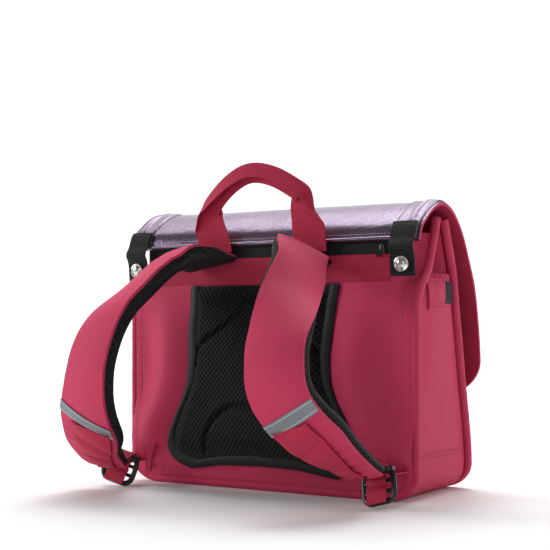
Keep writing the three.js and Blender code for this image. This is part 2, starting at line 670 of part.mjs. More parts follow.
// A press stud in the fold at the top of each side.
function gussetStud() {
  const z = SIDE_TOP - STUD_DOWN;
  const [from, to] = span(z);
  const seat = read(FOLD, "across", "deep", 0.5 - (STUD.radius + 3 * GAP) / (to - from));
  const deep = (height) => SINK * read(SIDE_PROFILE, "up", "sink", height / SIDE_TOP);
  const lean = Math.atan((deep(z + STUD.radius) - deep(z - STUD.radius)) / 2 / STUD.radius);
  return stud(STUD.radius, STUD.height).rotateZ(-Math.PI / 2).rotateY(-lean)
    .translate(WIDTH / 2 - deep(z) * seat + 2 * GAP, (from + to) / 2, z);
}

// Straps: a point by the share of the way along, across from the inner edge (-1) to the outer (1),
// and off the outer face, positive inwards.
const strapAt = (row) => vec(
  mix(STRAP_ROOT.x, TIP_X, row.out),
  BACK - GAP - WEBBING - GAP - row.reach * STRAP_REACH,
  row.up * STRAP_ROOT.z,
);
const strapCurve = (lift) => new THREE.CatmullRomCurve3(STRAP_COURSE.map((row) =>
  strapAt(row).add(vec(0, 0, lift * smooth(row.out, 0.55, 1)))), false, "centripetal");
const STRAPS = { [LIFT.right]: strapCurve(LIFT.right), [LIFT.left]: strapCurve(LIFT.left) };
const STRAP_ALONG = STRAP_COURSE.map((row, i) => ({ ...row, along: i / (STRAP_COURSE.length - 1) }));

function strapFrame(t, lift) {
  const curve = STRAPS[lift];
  const s = curve.getUtoTmapping(t);
  const along = curve.getTangentAt(t);
  const across = vec(1, 0, 0).addScaledVector(along, -along.x).normalize();
  const inward = across.clone().cross(along).normalize();
  return {
    at: curve.getPointAt(t),
    across,
    inward,
    half: STRAP_WIDTH / 2 * read(STRAP_ALONG, "along", "wide", s),
    thick: read(STRAP_ALONG, "along", "thick", s),
  };
}

function strapPoint(t, v, off, lift) {
  const f = strapFrame(t, lift);
  const depth = off(f.thick, v) + STRAP_CROWN * f.thick * v * v;
  return f.at.clone().addScaledVector(f.across, v * f.half).addScaledVector(f.inward, depth);
}

const STRAP_ROWS = STEPS(22);
const STRAP_COLS = [-1, -0.85, -0.45, 0, 0.45, 0.85, 1];
const coverFoot = (thick, v) => STRAP_COVER * thick * (1 - 0.45 * v * v);
const meshFoot = (thick, v) => coverFoot(thick, v) + GAP + STRAP_MESH * thick * (1 - 0.35 * v ** 4);

const STRAP_START = BACK - 2 * GAP - WEBBING; // the roots end flat against the band

function strapLayer(upper, lower, lift) {
  return cut(shell(
    grid(STRAP_ROWS, STRAP_COLS, (t, v) => strapPoint(t, v, upper, lift)),
    grid(STRAP_ROWS, STRAP_COLS, (t, v) => strapPoint(t, v, lower, lift)),
  ), behind(STRAP_START));
}

const tapeAt = (lift) => (lift === LIFT.right ? TAPE.right : TAPE.left);

function strapTape(lift) {
  const half = TAPE.tall / 2 / STRAPS[lift].getLength();
  const place = (off) => grid([-half, 0, half], STRAP_COLS.slice(1, -1), (d, v) =>
    strapPoint(tapeAt(lift) + d - TAPE.slant * v, v * 1.12, () => -off, lift));
  return shell(place(GAP + TAPE.thick), place(GAP));
}

// Webbing sewn on the strap, that ends at the lock's first bar.
function strapBand(lift) {
  const half = STRAP_BAND.width / STRAP_WIDTH;
  const rows = STEPS(9).map((t) => mix(tapeAt(lift) + STRAP_BAND.after, 1 - STRAP_BAND.short, t));
  const sides = STEPS(3).map((t) => 2 * t - 1);
  const onStrap = (off) => grid(rows, sides, (t, v) => strapPoint(t, STRAP_BAND.side + half * v, () => -off, lift));
  const atBar = (z) => sides.map((v) =>
    vec(v * STRAP_BAND.width / 2, -LOCK.length / 2 - GAP, z).applyMatrix4(lockFrame(lift)));
  return shell(
    [...onStrap(GAP + WEBBING), atBar(-WEBBING / 2)],
    [...onStrap(GAP), atBar(WEBBING / 2)],
  );
}

// Ladder lock: a moulded frame with four bars and three slots, the strap side first.
function lockPlate(lift) {
  const [w, l] = [LOCK.width / 2, LOCK.length / 2];
  const outline = new THREE.Shape([[-w, -l], [w, -l], [w, l], [-w, l]].map(([x, y]) => new THREE.Vector2(x, y)));
  const slot = (LOCK.length - 4 * LOCK.bar) / 3;
  for (let i = 0; i < 3; i++) {
    const low = -l + LOCK.bar + i * (slot + LOCK.bar);
    const inner = w - LOCK.wall;
    const hole = [[-inner, low], [-inner, low + slot], [inner, low + slot], [inner, low]];
    outline.holes.push(new THREE.Path(hole.map(([x, y]) => new THREE.Vector2(x, y))));
  }
  return new THREE.ExtrudeGeometry(outline, { depth: LOCK.thick, bevelEnabled: false })
    .translate(0, 0, -LOCK.thick / 2).applyMatrix4(lockFrame(lift));
}

// Puts a piece drawn in the lock's own plane, +Y towards the bag and +Z up, where the lock lies.
function lockFrame(lift) {
  const along = vec(ANCHOR.x - LOCK_AT.x, BACK - LOCK_AT.y, 0).setZ(LOCK_RISE * (BACK - LOCK_AT.y)).normalize();
  const across = along.clone().cross(vec(0, 0, 1)).normalize();
  const up = across.clone().cross(along);
  return new THREE.Matrix4().makeBasis(across, along, up).setPosition(LOCK_AT.x, LOCK_AT.y, LOCK_AT.z + lift);
}

// Webbing from the bag's corner under the lock, up through it, over a bar and down to its tail.
function lowerBand(lift) {
  const half = LOCK.thick / 2;
  const bar = LOCK.bar / 2;
  const pitch = (LOCK.length - LOCK.bar) / 3;
  const middle = pitch / 2;
  const under = -half - GAP - WEBBING;
  const over = half + GAP + WEBBING;
  const anchor = Math.hypot(ANCHOR.x - LOCK_AT.x, BACK - LOCK_AT.y);
  const path = [
    [anchor, under * 0.2], [LOCK.length / 2 + LOCK.bar, under], [middle + bar + GAP + 2 * WEBBING, under],
    [middle + bar + GAP + WEBBING, -half], [middle + bar + GAP + WEBBING, half], [middle, over],
    [middle - bar - GAP - WEBBING, half], [middle - bar - GAP - WEBBING, -half],
    [middle - pitch / 2 - WEBBING, under - 1], [middle - pitch - WEBBING, under - 2],
    [middle - LOWER_BAND.tail, under - 1],
  ];
  const ribbon = band(path, -LOWER_BAND.width / 2, LOWER_BAND.width / 2, WEBBING);
  return cut(ribbon.applyMatrix4(lockFrame(lift)), behind(ANCHOR_FACE - GAP));
}

const ANCHOR_FACE = BACK - SWELL * 0.3 - ANCHOR.thick;

function anchorTab() {
  const shape = new THREE.Shape([
    [ANCHOR.x + ANCHOR.out, ANCHOR.top], [ANCHOR.x - ANCHOR.side, ANCHOR.top],
    [ANCHOR.x - ANCHOR.foot, ANCHOR.low], [ANCHOR.x, ANCHOR.low],
  ].map(([x, z]) => new THREE.Vector2(x, z)));
  return cut(withIndex(new THREE.ExtrudeGeometry(shape, { depth: BACK - ANCHOR_FACE, bevelEnabled: false })
    .rotateX(Math.PI / 2).translate(0, BACK, 0)), OFF_BACK);
}

const HALF_ROWS = [0, 0.045, 0.09, 0.135, 0.18, 0.23, 0.28, 0.33, 0.38, 0.43, 0.475];
const HANDLE_ROWS = [...HALF_ROWS, ...HALF_ROWS.toReversed().map((t) => 1 - t)];

// Handle: webbing that rises from its two roots and is folded in half round the grip.
function handle() {
  const rows = [...HANDLE_COURSE, ...HANDLE_COURSE.slice(0, -1).toReversed().map((r) => ({ ...r, across: -r.across }))];
  const root = FLAP_START - 3 * GAP - BORDER_THICK;
  const curve = new THREE.CatmullRomCurve3(rows.map((r) => vec(
    FLAP_SHIFT + r.across * HANDLE.half,
    root - HANDLE.lean * r.lean,
    mix(HANDLE.root, HANDLE.top, r.up),
  )), false, "centripetal");
  const columns = rows.map((r, i) => ({ ...r, along: i / (rows.length - 1) }));
  const place = (side) => grid(HANDLE_ROWS, [-1, -0.5, 0, 0.5, 1], (t, v) => {
    const s = curve.getUtoTmapping(t);
    const wide = mix(HANDLE.grip, HANDLE.web, read(columns, "along", "wide", s)) / 2;
    const thick = HANDLE.grip_thick * read(columns, "along", "thick", s);
    const along = curve.getTangentAt(t);
    const face = vec(0, -1, 0).addScaledVector(along, along.y).normalize();
    const across = face.clone().cross(along);
    return curve.getPointAt(t).addScaledVector(across, v * wide)
      .addScaledVector(face, side ? thick * (1 - 0.5 * v * v) : 0);
  });
  return shell(place(true), place(false));
}

add("back_panel", shell(BACK_PANEL.face, BACK_PANEL.inside), PINK);
add("front_panel", shell(FRONT_FACE(0), FRONT_FACE(FRONT_PANEL)), PINK);
add("gusset", gusset(), PINK);
add("base_wrap", baseWrap(), PINK);
add("back_piping", rolledEdge(backEdge, 1), PINK);
add("front_piping", rolledEdge(frontEdge, -1), PINK);
add("front_pocket", frontPocket(), PINK);
addPair("side_pocket", sidePocket, PINK);
addPair("side_loop", () => onPocket(PATCH, WEBBING), PINK_BAND);
addPair("side_webbing", () => onPocket(SIDE_BAND, WEBBING), BLACK_BAND);
addPair("gusset_stud", gussetStud, SILVER);
add("top_band", bandOnBack(BAND_LOW, BAND_HIGH - GAP), PINK_BAND);
add("hinge_strip", bandOnBack(BAND_HIGH, STRIP_HIGH), BLACK_BAND);
add("zip_slider", zipSlider(), PLASTIC);
add("zip_pull", zipPull(), BLACK_BAND);
add("back_pad", backPad(), BLACK_MESH);
add("pad_binding", padBinding(), BLACK_BAND);
add("flap", flap(), LEATHERETTE);
addPair("flap_border", flapBorder, LEATHERETTE);
add("flap_welt", flapWelt(), LEATHERETTE);
addPair("flap_clasp", flapClasp, PLASTIC);
addPair("corner_tab", cornerTab, BLACK_BAND);
addPair("tab_snap", tabSnap, SILVER);
addPair("strap_cover", (lift) => strapLayer(() => 0, coverFoot, lift), PINK);
addPair("strap_mesh", (lift) => strapLayer((thick, v) => coverFoot(thick, v) + GAP, meshFoot, lift), BLACK_MESH);
addPair("strap_tape", strapTape, TAPE_GREY);
addPair("strap_webbing", strapBand, PINK_BAND);
addPair("ladder_lock", lockPlate, PLASTIC);
addPair("adjust_webbing", lowerBand, PINK_BAND);
addPair("anchor_tab", anchorTab, PINK);
add("handle", handle(), PINK_BAND);

export default bag;
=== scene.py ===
# School ransel seen from its carrying side: the cloth, webbing, mesh, leatherette and buckles.
import functools
import math

import bpy
import numpy as np
from mathutils import Matrix, Vector, noise


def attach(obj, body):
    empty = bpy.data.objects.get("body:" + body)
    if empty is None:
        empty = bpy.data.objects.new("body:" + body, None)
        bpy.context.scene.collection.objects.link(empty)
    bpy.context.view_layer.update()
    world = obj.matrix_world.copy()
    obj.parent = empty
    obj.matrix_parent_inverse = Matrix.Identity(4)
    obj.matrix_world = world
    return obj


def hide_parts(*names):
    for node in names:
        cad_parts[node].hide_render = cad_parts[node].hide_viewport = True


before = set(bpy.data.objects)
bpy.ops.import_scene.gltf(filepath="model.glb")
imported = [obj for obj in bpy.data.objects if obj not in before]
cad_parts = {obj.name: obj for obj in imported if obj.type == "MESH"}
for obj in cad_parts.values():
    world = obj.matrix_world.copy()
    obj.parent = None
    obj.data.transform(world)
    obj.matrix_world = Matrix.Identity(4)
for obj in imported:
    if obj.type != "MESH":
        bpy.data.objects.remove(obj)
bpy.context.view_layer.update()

MM = 0.001
NAMED = {1: "right", -1: "left"}

# Camera of the photograph: a level view from the wearer's right rear, horizon below the bag's top
CAMERA = {"at": (732.6, -1232.1, 192.5), "azimuth": 31.8, "lens": 80.0, "sensor": 36.0, "shift_y": 0.081}

# Body, in millimetres
WIDTH = 362
DEPTH = 150
SIDE_TOP = 302
CORNER = 28
CLOTH = 2
ROLL = 5.5
ROLL_OUT = 3.5
SINK = 24
GAP = 0.3
BACK = -DEPTH / 2
GUSSET_FLOOR = CLOTH + GAP
ROLL_LIFT = ROLL_OUT + ROLL - CLOTH - GAP
PANEL_HALF = WIDTH / 2 + ROLL_OUT - ROLL - GAP
PANEL_FLOOR = GUSSET_FLOOR - ROLL_OUT + ROLL_LIFT + ROLL + GAP
PANEL_THICK = 8

# Bands over the top of the back
BAND_HIGH = 262
BAND_LOW = 233
STRIP_HIGH = 276
BAND_END = 158
LEAN_FROM = 160
WEBBING = 1.5

# Bolsters of the back panel: height, and how far outside the pad's edge the crest and the foot lie;
# its seam is stitched this far inside its edge
SEAM_IN = 7
BOLSTER = {"high": 23.0, "crest": 27.0, "foot": 74.0, "under_pad": 0.58}

# Flap
FLAP_HALF = 190
FLAP_SHIFT = 4
FLAP = 5
FLAP_REAR = 276
FLAP_TOP = 320
FLAP_FRONT = 86
FLAP_END = 108
FLAP_CORNER = 38
BORDER = 29
CLASP = {"wide": 34, "high": 30, "thick": 4, "x": 95, "z": 135}
BORDER_EDGE = 2

# Back pad
PAD_TOP = 231
PAD_FOOT = 20
PAD_HALF = 127
PAD_THICK = 9
CHANNEL = 6
CHANNEL_HALF = 7
BINDING = 11

# Side pocket and base wrap
BASE_WRAP_TOP = 50
POCKET_TOP = 241
POCKET_SWELL = 5
PATCH = {"back": -44, "front": -9, "low": 203, "high": 237}
GATHER_PITCH = 7.5
SIDE_BAND = {"back": -8, "front": 20, "low": 210, "high": 234}

# Front pocket
FRONT_POCKET = {"half": 150, "low": 48, "high": 165, "face": 72}

# Straps
STRAP_WIDTH = 60
STRAP_COVER = 5.5
STRAP_MESH = 16
# Degrees that each strap's face turns outwards in its upper and lower half, and how far it spreads
STRAP_TURN = {"right": (60, 7), "left": (24, 12)}
STRAP_SPREAD = {"right": 0, "left": 8}
STRAP_CROWN = 3.5
STRAP_ROOT = (57, 261)
STRAP_REACH = 164
TIP_X = 166
TAPE = {"right": 0.73, "left": 0.766, "tall": 16, "slant": 0.013}
STRAP_BAND = {"width": 26, "full": 40, "after": 0.020, "to": 0.985, "side": -0.2}
LIFT = {"right": 9, "left": 0}
LOCK = {"width": 45, "length": 36, "thick": 5, "wall": 6.2, "bar": 4.4, "round": 10}
LOCK_AT = (168, -121, 11)
# The lock hangs nearly upright from the strap's end: its height, its width's direction and its length's
LOCK_HANG = {"right": 22, "left": 21, "across": (0.93, -0.15, 0.26), "down": (0.30, -0.28, -0.86)}
LOWER_BAND_WIDTH = 25
ANCHOR = {"x": 172, "top": 47, "side": 31, "foot": 12, "out": 4, "low": 16}

# Tabs, handle and zip
TAB = {"inner": 159, "outer": 187, "kick": 8, "low": 238, "stud": 250.5}
HANDLE = {"web": 40, "lean": 12}
SLIDER = {"x": 150, "z": 267}
GUSSET_STUD = {"down": 18, "radius": 3.5, "high": 2.2}
TAB_SNAP = {"radius": 8.4, "high": 3.4}

# Stitches: length of one and the pitch of a row, drawn coarse enough to show
STITCH = {"long": 2.6, "pitch": 4.0, "radius": 0.45}


def table(columns, *rows):
    """Rows of a table, each value under its column's name."""
    return [dict(zip(columns.split(), row)) for row in rows]


# Shares of the side's height and depth: how far each rolled edge leans in, and how far the cloth
# between them folds inwards
SIDE_PROFILE = table(
    "up back front sink",
    (0.0, 0.0, 0.0, 0.0), (0.13, 0.0, 0.013, 0.0), (0.27, 0.0, 0.06, 0.03), (0.41, 0.0, 0.13, 0.05),
    (0.56, 0.0, 0.19, 0.05), (0.68, 0.004, 0.245, 0.08), (0.74, 0.055, 0.266, 0.15),
    (0.81, 0.185, 0.3, 0.42), (0.9, 0.27, 0.37, 0.8), (1.0, 0.345, 0.455, 1.0),
)
FOLD = table(
    "across deep",
    (0.0, 0.0), (0.12, 0.25), (0.32, 0.85), (0.5, 1.0), (0.68, 0.85), (0.88, 0.25), (1.0, 0.0),
)
SWELL_UP = table(
    "up share",
    (0.04, 0.0), (0.14, 0.45), (0.32, 0.88), (0.5, 1.0), (0.64, 0.8), (0.74, 0.38), (0.83, 0.0),
)
PAD_SIDES = table(
    "up half",
    (0.0, 0.76), (0.03, 0.9), (0.08, 0.98), (0.13, 1.0), (0.2, 0.965), (0.3, 0.885), (0.4, 0.8),
    (0.5, 0.745), (0.61, 0.73), (0.75, 0.745), (0.9, 0.757), (1.0, 0.775),
)
PAD_EDGE = table(
    "across rise",
    (0.0, 0.04), (0.4, 0.033), (0.75, 0.012), (1.0, 0.0),
)
STRAP_COURSE = table(
    "out reach up wide thick",
    (0.0, 0.0, 1.0, 0.98, 0.35), (0.035, 0.065, 1.02, 0.98, 0.7), (0.11, 0.15, 1.045, 0.98, 1.0),
    (0.205, 0.255, 1.047, 0.98, 1.0), (0.3, 0.355, 1.008, 0.99, 1.0), (0.38, 0.45, 0.954, 1.0, 1.0),
    (0.43, 0.612, 0.878, 1.01, 1.0), (0.478, 0.776, 0.802, 1.02, 1.0), (0.492, 0.888, 0.725, 1.02, 1.0),
    (0.5, 0.958, 0.649, 1.03, 1.0), (0.522, 0.994, 0.565, 1.04, 1.0), (0.54, 1.0, 0.496, 1.06, 1.0),
    (0.582, 0.97, 0.42, 1.08, 1.0), (0.652, 0.897, 0.344, 1.15, 0.98), (0.74, 0.788, 0.267, 1.24, 0.92),
    (0.845, 0.673, 0.191, 1.1, 0.82), (0.94, 0.545, 0.13, 0.94, 0.7), (1.0, 0.44, 0.095, 0.84, 0.55),
)
FLAP_COURSE = table(
    "ahead up",
    (0.0, 0.0), (0.04, 0.34), (0.125, 0.62), (0.215, 0.83), (0.31, 0.97), (0.395, 1.0), (0.515, 0.86),
    (0.62, 0.58), (0.715, 0.18), (0.8, -0.35), (0.89, -0.98), (0.945, -1.68), (0.985, -2.5), (1.0, -3.1),
    (0.99, -3.82),
)
# The handle's line, in millimetres from the wearer's right to the left: the webbing's middle where it
# is flat, its crease where it is folded; then the folded share and the angle that the fold is left open
HANDLE_LINE = table(
    "x z fold open",
    (67.0, 266, 0.0, 60), (67.0, 282, 0.0, 60), (66.5, 296, 0.08, 60), (68.5, 309, 0.35, 55),
    (72.5, 322, 0.75, 45), (70.0, 333, 0.95, 26), (57.0, 343, 1.0, 20), (31.0, 357, 1.0, 14),
    (6.0, 363, 1.0, 14), (-13.0, 361, 1.0, 16), (-34.0, 351, 1.0, 24), (-51.0, 338, 1.0, 32),
    (-66.0, 322, 0.88, 42), (-69.0, 311, 0.5, 56), (-64.5, 300, 0.15, 66), (-60.0, 288, 0.0, 66),
    (-56.5, 276, 0.0, 66), (-55.0, 266, 0.0, 66),
)


def mix(a, b, t):
    return a + (b - a) * t


def smooth(value, low, high):
    t = min(1.0, max(0.0, (value - low) / (high - low)))
    return t * t * (3 - 2 * t)


def steps(count):
    return [i / count for i in range(count + 1)]


def even(count):
    """Steps from -1 to 1."""
    return [2 * t - 1 for t in steps(count)]


def read(table, along, column, at):
    """One column of a table at a place along its first column, on a curve that never overshoots."""
    last = len(table) - 1
    if at <= table[0][along]:
        return table[0][column]
    if at >= table[last][along]:
        return table[last][column]
    i = next(k for k, row in enumerate(table) if row[along] > at) - 1

    def rise(k):
        return (table[k + 1][column] - table[k][column]) / (table[k + 1][along] - table[k][along])

    def slope(k):
        if k == 0:
            return rise(0)
        if k == last:
            return rise(last - 1)
        before, after = rise(k - 1), rise(k)
        return 0 if before * after <= 0 else 2 * before * after / (before + after)

    width = table[i + 1][along] - table[i][along]
    t = (at - table[i][along]) / width
    a, b = table[i][column], table[i + 1][column]
    return a + (b - a) * t * t * (3 - 2 * t) + width * t * (1 - t) * (slope(i) * (1 - t) - slope(i + 1) * t)


def waviness(p, size, height, seed=0.0):
    """Soft unevenness of cloth at a point: waves of a size in mm and a height in mm."""
    return height * noise.noise(Vector(p) / size + Vector((seed, seed * 1.7, seed * 2.3)))


class Course:
    """A smooth line through points, read by the share of its length."""

    def __init__(self, points, per_span=24):
        points = [Vector(p) for p in points]
        first = points[0] * 2 - points[1]
        last = points[-1] * 2 - points[-2]
        guide = [first] + points + [last]
        line = []
        for i in range(1, len(guide) - 2):
            p0, p1, p2, p3 = guide[i - 1:i + 3]
            t0 = 0.0
            t1 = t0 + math.sqrt((p1 - p0).length)
            t2 = t1 + math.sqrt((p2 - p1).length)
            t3 = t2 + math.sqrt((p3 - p2).length)
            for k in range(per_span):
                t = mix(t1, t2, k / per_span)
                a1 = p0 * ((t1 - t) / (t1 - t0)) + p1 * ((t - t0) / (t1 - t0))
                a2 = p1 * ((t2 - t) / (t2 - t1)) + p2 * ((t - t1) / (t2 - t1))
                a3 = p2 * ((t3 - t) / (t3 - t2)) + p3 * ((t - t2) / (t3 - t2))
                b1 = a1 * ((t2 - t) / (t2 - t0)) + a2 * ((t - t0) / (t2 - t0))
                b2 = a2 * ((t3 - t) / (t3 - t1)) + a3 * ((t - t1) / (t3 - t1))
                line.append(b1 * ((t2 - t) / (t2 - t1)) + b2 * ((t - t1) / (t2 - t1)))
        line.append(points[-1])
        self.line = np.array([p[:] for p in line])
        runs = np.linalg.norm(np.diff(self.line, axis=0), axis=1)
        self.at = np.concatenate([[0], np.cumsum(runs)])
        self.length = float(self.at[-1])
        self.knots = self.at[::per_span] / self.length

    @functools.cache
    def point(self, share):
        s = min(1.0, max(0.0, share)) * self.length
        return Vector([float(np.interp(s, self.at, self.line[:, k])) for k in range(3)])

    @functools.cache
    def tangent(self, share):
        step = 0.5 / self.length
        return (self.point(share + step) - self.point(share - step)).normalized()

    def knot(self, share):
        """The share of the way through the rows of the table at a share of the length."""
        rows = np.linspace(0, 1, len(self.knots))
        return float(np.interp(min(1.0, max(0.0, share)), self.knots, rows))


# Materials


def hex_colour(code):
    """sRGB hex to linear."""
    parts = [int(code[i:i + 2], 16) / 255 for i in (1, 3, 5)]
    return tuple(c / 12.92 if c <= 0.04045 else ((c + 0.055) / 1.055) ** 2.4 for c in parts) + (1.0,)


def output(node):
    """The output in use of a node; a socket stays what it is."""
    return next(o for o in node.outputs if o.enabled) if isinstance(node, bpy.types.Node) else node


def put(tree, kind, *values, **named):
    """Adds a node. Lower-case names are its settings, the others its inputs, and so are the values in order."""
    node = tree.nodes.new("ShaderNode" + kind)
    for name in [n for n in named if n[0].islower()]:
        setattr(node, name, named.pop(name))
    pairs = list(zip([socket for socket in node.inputs if socket.enabled], values))
    pairs += [(node.inputs[name.replace("_", " ")], value) for name, value in named.items()]
    for socket, value in pairs:
        value = output(value)
        if isinstance(value, bpy.types.NodeSocket):
            tree.links.new(value, socket)
        else:
            socket.default_value = value
    return node


def start(name, roughness, **settings):
    """A new material, its node tree, its place in space, and its places across and along the cloth."""
    material = bpy.data.materials.new(name)
    material.use_nodes = True
    tree = material.node_tree
    shader = tree.nodes["Principled BSDF"]
    shader.inputs["Roughness"].default_value = roughness
    for key, value in settings.items():
        shader.inputs[key.replace("_", " ")].default_value = value
    coordinates = put(tree, "TexCoord")
    split = put(tree, "SeparateXYZ", Vector=coordinates.outputs["UV"])
    return material, tree, coordinates.outputs["Object"], split.outputs[0], split.outputs[1]


def surface(material, colour, height, millimetres):
    """Gives the material its colour, and its relief with a depth in millimetres."""
    tree = material.node_tree
    shader = tree.nodes["Principled BSDF"]
    bump = put(tree, "Bump", Strength=1.0, Distance=millimetres * MM, Height=height)
    tree.links.new(output(colour), shader.inputs["Base Color"])
    tree.links.new(bump.outputs[0], shader.inputs["Normal"])
    return material


def waves(tree, value, pitch):
    """A cosine-like wave of 0 to 1 along a coordinate in metres, with a pitch in mm."""
    turns = put(tree, "Math", value, 2 * math.pi / (pitch * MM), operation="MULTIPLY")
    sine = put(tree, "Math", turns, operation="SINE")
    return put(tree, "Math", sine, 0.5, 0.5, operation="MULTIPLY_ADD")


def polyester(name, light, dark, roughness=0.62):
    """Coated polyester plain weave: an even matt face with a faint sheen, threads just seen close by."""
    material, tree, at, across, along = start(name, roughness, Specular_IOR_Level=0.22)
    cloud = put(tree, "TexNoise", Vector=at, Scale=14.0, Detail=3.0)
    fine = put(tree, "TexNoise", Vector=at, Scale=900.0, Detail=2.0)
    shade = put(tree, "Math", cloud, 0.65, operation="MULTIPLY")
    tone = put(tree, "Math", fine, 0.35, shade, operation="MULTIPLY_ADD")
    colour = put(tree, "Mix", tone, hex_colour(dark), hex_colour(light), data_type="RGBA")
    # Threads are 0.4 mm apart on the real cloth, and are drawn at 1.1 mm so that they show.
    threads = put(tree, "Math", waves(tree, across, 1.1), waves(tree, along, 1.1), operation="MULTIPLY")
    soft = put(tree, "TexNoise", Vector=at, Scale=60.0, Detail=3.0)
    height = put(tree, "Math", soft, 2.2, threads, operation="MULTIPLY_ADD")
    return surface(material, colour, height, 0.16)


def webbing(name, light, dark, ribs=1.9):
    """Polyester webbing, woven: ribs across the band from its weft, with fine rows of warp along it."""
    material, tree, at, across, along = start(name, 0.6, Specular_IOR_Level=0.2)
    weft = put(tree, "Math", waves(tree, across, ribs), 0.65, operation="MULTIPLY")
    weave = put(tree, "Math", waves(tree, along, 1.3), 0.35, weft, operation="MULTIPLY_ADD")
    fuzz = put(tree, "TexNoise", Vector=at, Scale=700.0, Detail=2.0)
    # The rib wave also sets the colour: painted highlight on the ribs' crests, painted shade in the grooves
    shade = put(tree, "Math", weave, 0.6, operation="MULTIPLY")
    tone = put(tree, "Math", fuzz, 0.5, shade, operation="MULTIPLY_ADD")
    colour = put(tree, "Mix", tone, hex_colour(dark), hex_colour(light), data_type="RGBA")
    return surface(material, colour, weave, 0.45)


# Pitch of the mesh's holes: 4.5 by 6 mm on the real one, and drawn coarser so that they show
HOLES = {"across": 5.6, "tall": 6.6}


def spacer_mesh(name):
    """Black air mesh: a knitted net of oval holes in staggered rows over dark foam."""
    material, tree, at, across, along = start(name, 0.75, Specular_IOR_Level=0.25)
    cells = []
    for shift in (0.0, 0.5):
        squares = []
        for socket, pitch in ((across, HOLES["across"]), (along, HOLES["tall"])):
            turn = put(tree, "Math", socket, 1 / (pitch * MM), shift, operation="MULTIPLY_ADD")
            part = put(tree, "Math", turn, operation="FRACT")
            off = put(tree, "Math", part, 0.5, operation="SUBTRACT")
            squares.append(put(tree, "Math", off, off, operation="MULTIPLY"))
        cells.append(put(tree, "Math", *squares, operation="ADD"))
    nearest = put(tree, "Math", put(tree, "Math", *cells, operation="MINIMUM"), operation="SQRT")
    net = put(tree, "MapRange", Value=nearest, From_Min=0.17, From_Max=0.30, interpolation_type="SMOOTHSTEP")
    fuzz = put(tree, "TexNoise", Vector=at, Scale=600.0, Detail=2.0)
    thread = put(tree, "Mix", fuzz, hex_colour("#151516"), hex_colour("#272728"), data_type="RGBA")
    # Holes near-black: partly the dark foam beneath, partly painted shade in the hollows
    colour = put(tree, "Mix", net, hex_colour("#020202"), thread, data_type="RGBA")
    return surface(material, colour, net, 1.1)


def leatherette(name):
    """Metallic coated leatherette, embossed: a lilac foil shine broken up by a fine crinkled grain."""
    material, tree, at, _, _ = start(name, 0.30, Metallic=0.92)
    turned = put(tree, "Mapping", Vector=at, Scale=(1.0, 0.55, 0.55))
    grain = put(tree, "TexNoise", Vector=turned, Scale=420.0, Detail=5.0, Roughness=0.65)
    creases = put(tree, "TexVoronoi", Vector=turned, Scale=190.0, feature="DISTANCE_TO_EDGE")
    steep = put(tree, "Math", creases, 3.5, operation="MULTIPLY")
    crease = put(tree, "Math", put(tree, "Math", steep, 1.0, operation="MINIMUM"), 0.35, operation="MULTIPLY")
    rolling = put(tree, "TexNoise", Vector=at, Scale=38.0, Detail=4.0)
    fine = put(tree, "Math", grain, 0.8, crease, operation="MULTIPLY_ADD")
    height = put(tree, "Math", rolling, 1.5, fine, operation="MULTIPLY_ADD")
    cloud = put(tree, "Math", rolling, 0.2, operation="MULTIPLY")
    tone = put(tree, "Math", grain, 0.8, cloud, operation="MULTIPLY_ADD")
    colour = put(tree, "Mix", tone, hex_colour("#54485A"), hex_colour("#857688"), data_type="RGBA")
    return surface(material, colour, height, 0.35)


def plain(name, light, dark, roughness, scale=500.0, height=0.05, **settings):
    """A moulded, pressed or spun finish with a fine unevenness in its colour and face."""
    material, tree, at, _, _ = start(name, roughness, **settings)
    fine = put(tree, "TexNoise", Vector=at, Scale=scale, Detail=3.0)
    colour = put(tree, "Mix", fine, hex_colour(dark), hex_colour(light), data_type="RGBA")
    return surface(material, colour, fine, height)


def reflective_tape(name):
    """Grey glass-bead tape: a fine slanted sheen painted into its colour, between two pale woven lines."""
    material, tree, _, across, along = start(name, 0.42, Metallic=0.25)
    slanted = put(tree, "Math", across, along, operation="ADD")
    lines = waves(tree, slanted, 1.6)
    centre = put(tree, "Math", across, operation="ABSOLUTE")
    beside = put(tree, "Math", centre, 5.7 * MM, operation="SUBTRACT")
    off_line = put(tree, "Math", beside, operation="ABSOLUTE")
    edge = put(tree, "MapRange", Value=off_line, From_Min=0.45 * MM, From_Max=0.30 * MM)
    # The slanted stripes are painted lighter and darker: a painted sheen across the beads
    grey = put(tree, "Mix", lines, hex_colour("#6E767C"), hex_colour("#8A9197"), data_type="RGBA")
    colour = put(tree, "Mix", edge, grey, hex_colour("#BFC2BE"), data_type="RGBA")
    return surface(material, colour, lines, 0.1)


# Coated plain weave: an even, matt raspberry; its bare reverse is darker
PINK = polyester("raspberry_polyester", "#CB3B61", "#BF3458")
LINING = polyester("dark_raspberry_lining", "#A82B49", "#9A2542", 0.7)
# Ribbed webbing: darker than the cloth, with painted highlight on its ribs and painted shade between them; the
# straps' band is woven smooth
PINK_BAND = webbing("raspberry_webbing", "#C2304F", "#9A1F3C")
FLAT_BAND = polyester("red_flat_webbing", "#C02E4E", "#AE2745")
BLACK_BAND = webbing("black_webbing", "#202322", "#0B0D0C", 2.0)
# Knitted air mesh: a charcoal net with near-black holes, partly the dark foam beneath and partly painted shade in
# the hollows; its bound edge is smooth, with a low shine on the fold
MESH = spacer_mesh("black_air_mesh")
BLACK_TAPE = plain("black_woven_binding", "#1E1F1F", "#131414", 0.6, 900.0, 0.15, Specular_IOR_Level=0.35)
# Foil-coated leatherette: a lilac shine with soft, crinkled highlights
FOIL = leatherette("lilac_metallic_leatherette")
# Moulded acetal: black, with soft highlights along its rounded bars
PLASTIC = plain("black_acetal", "#1B1C1C", "#141515", 0.32)
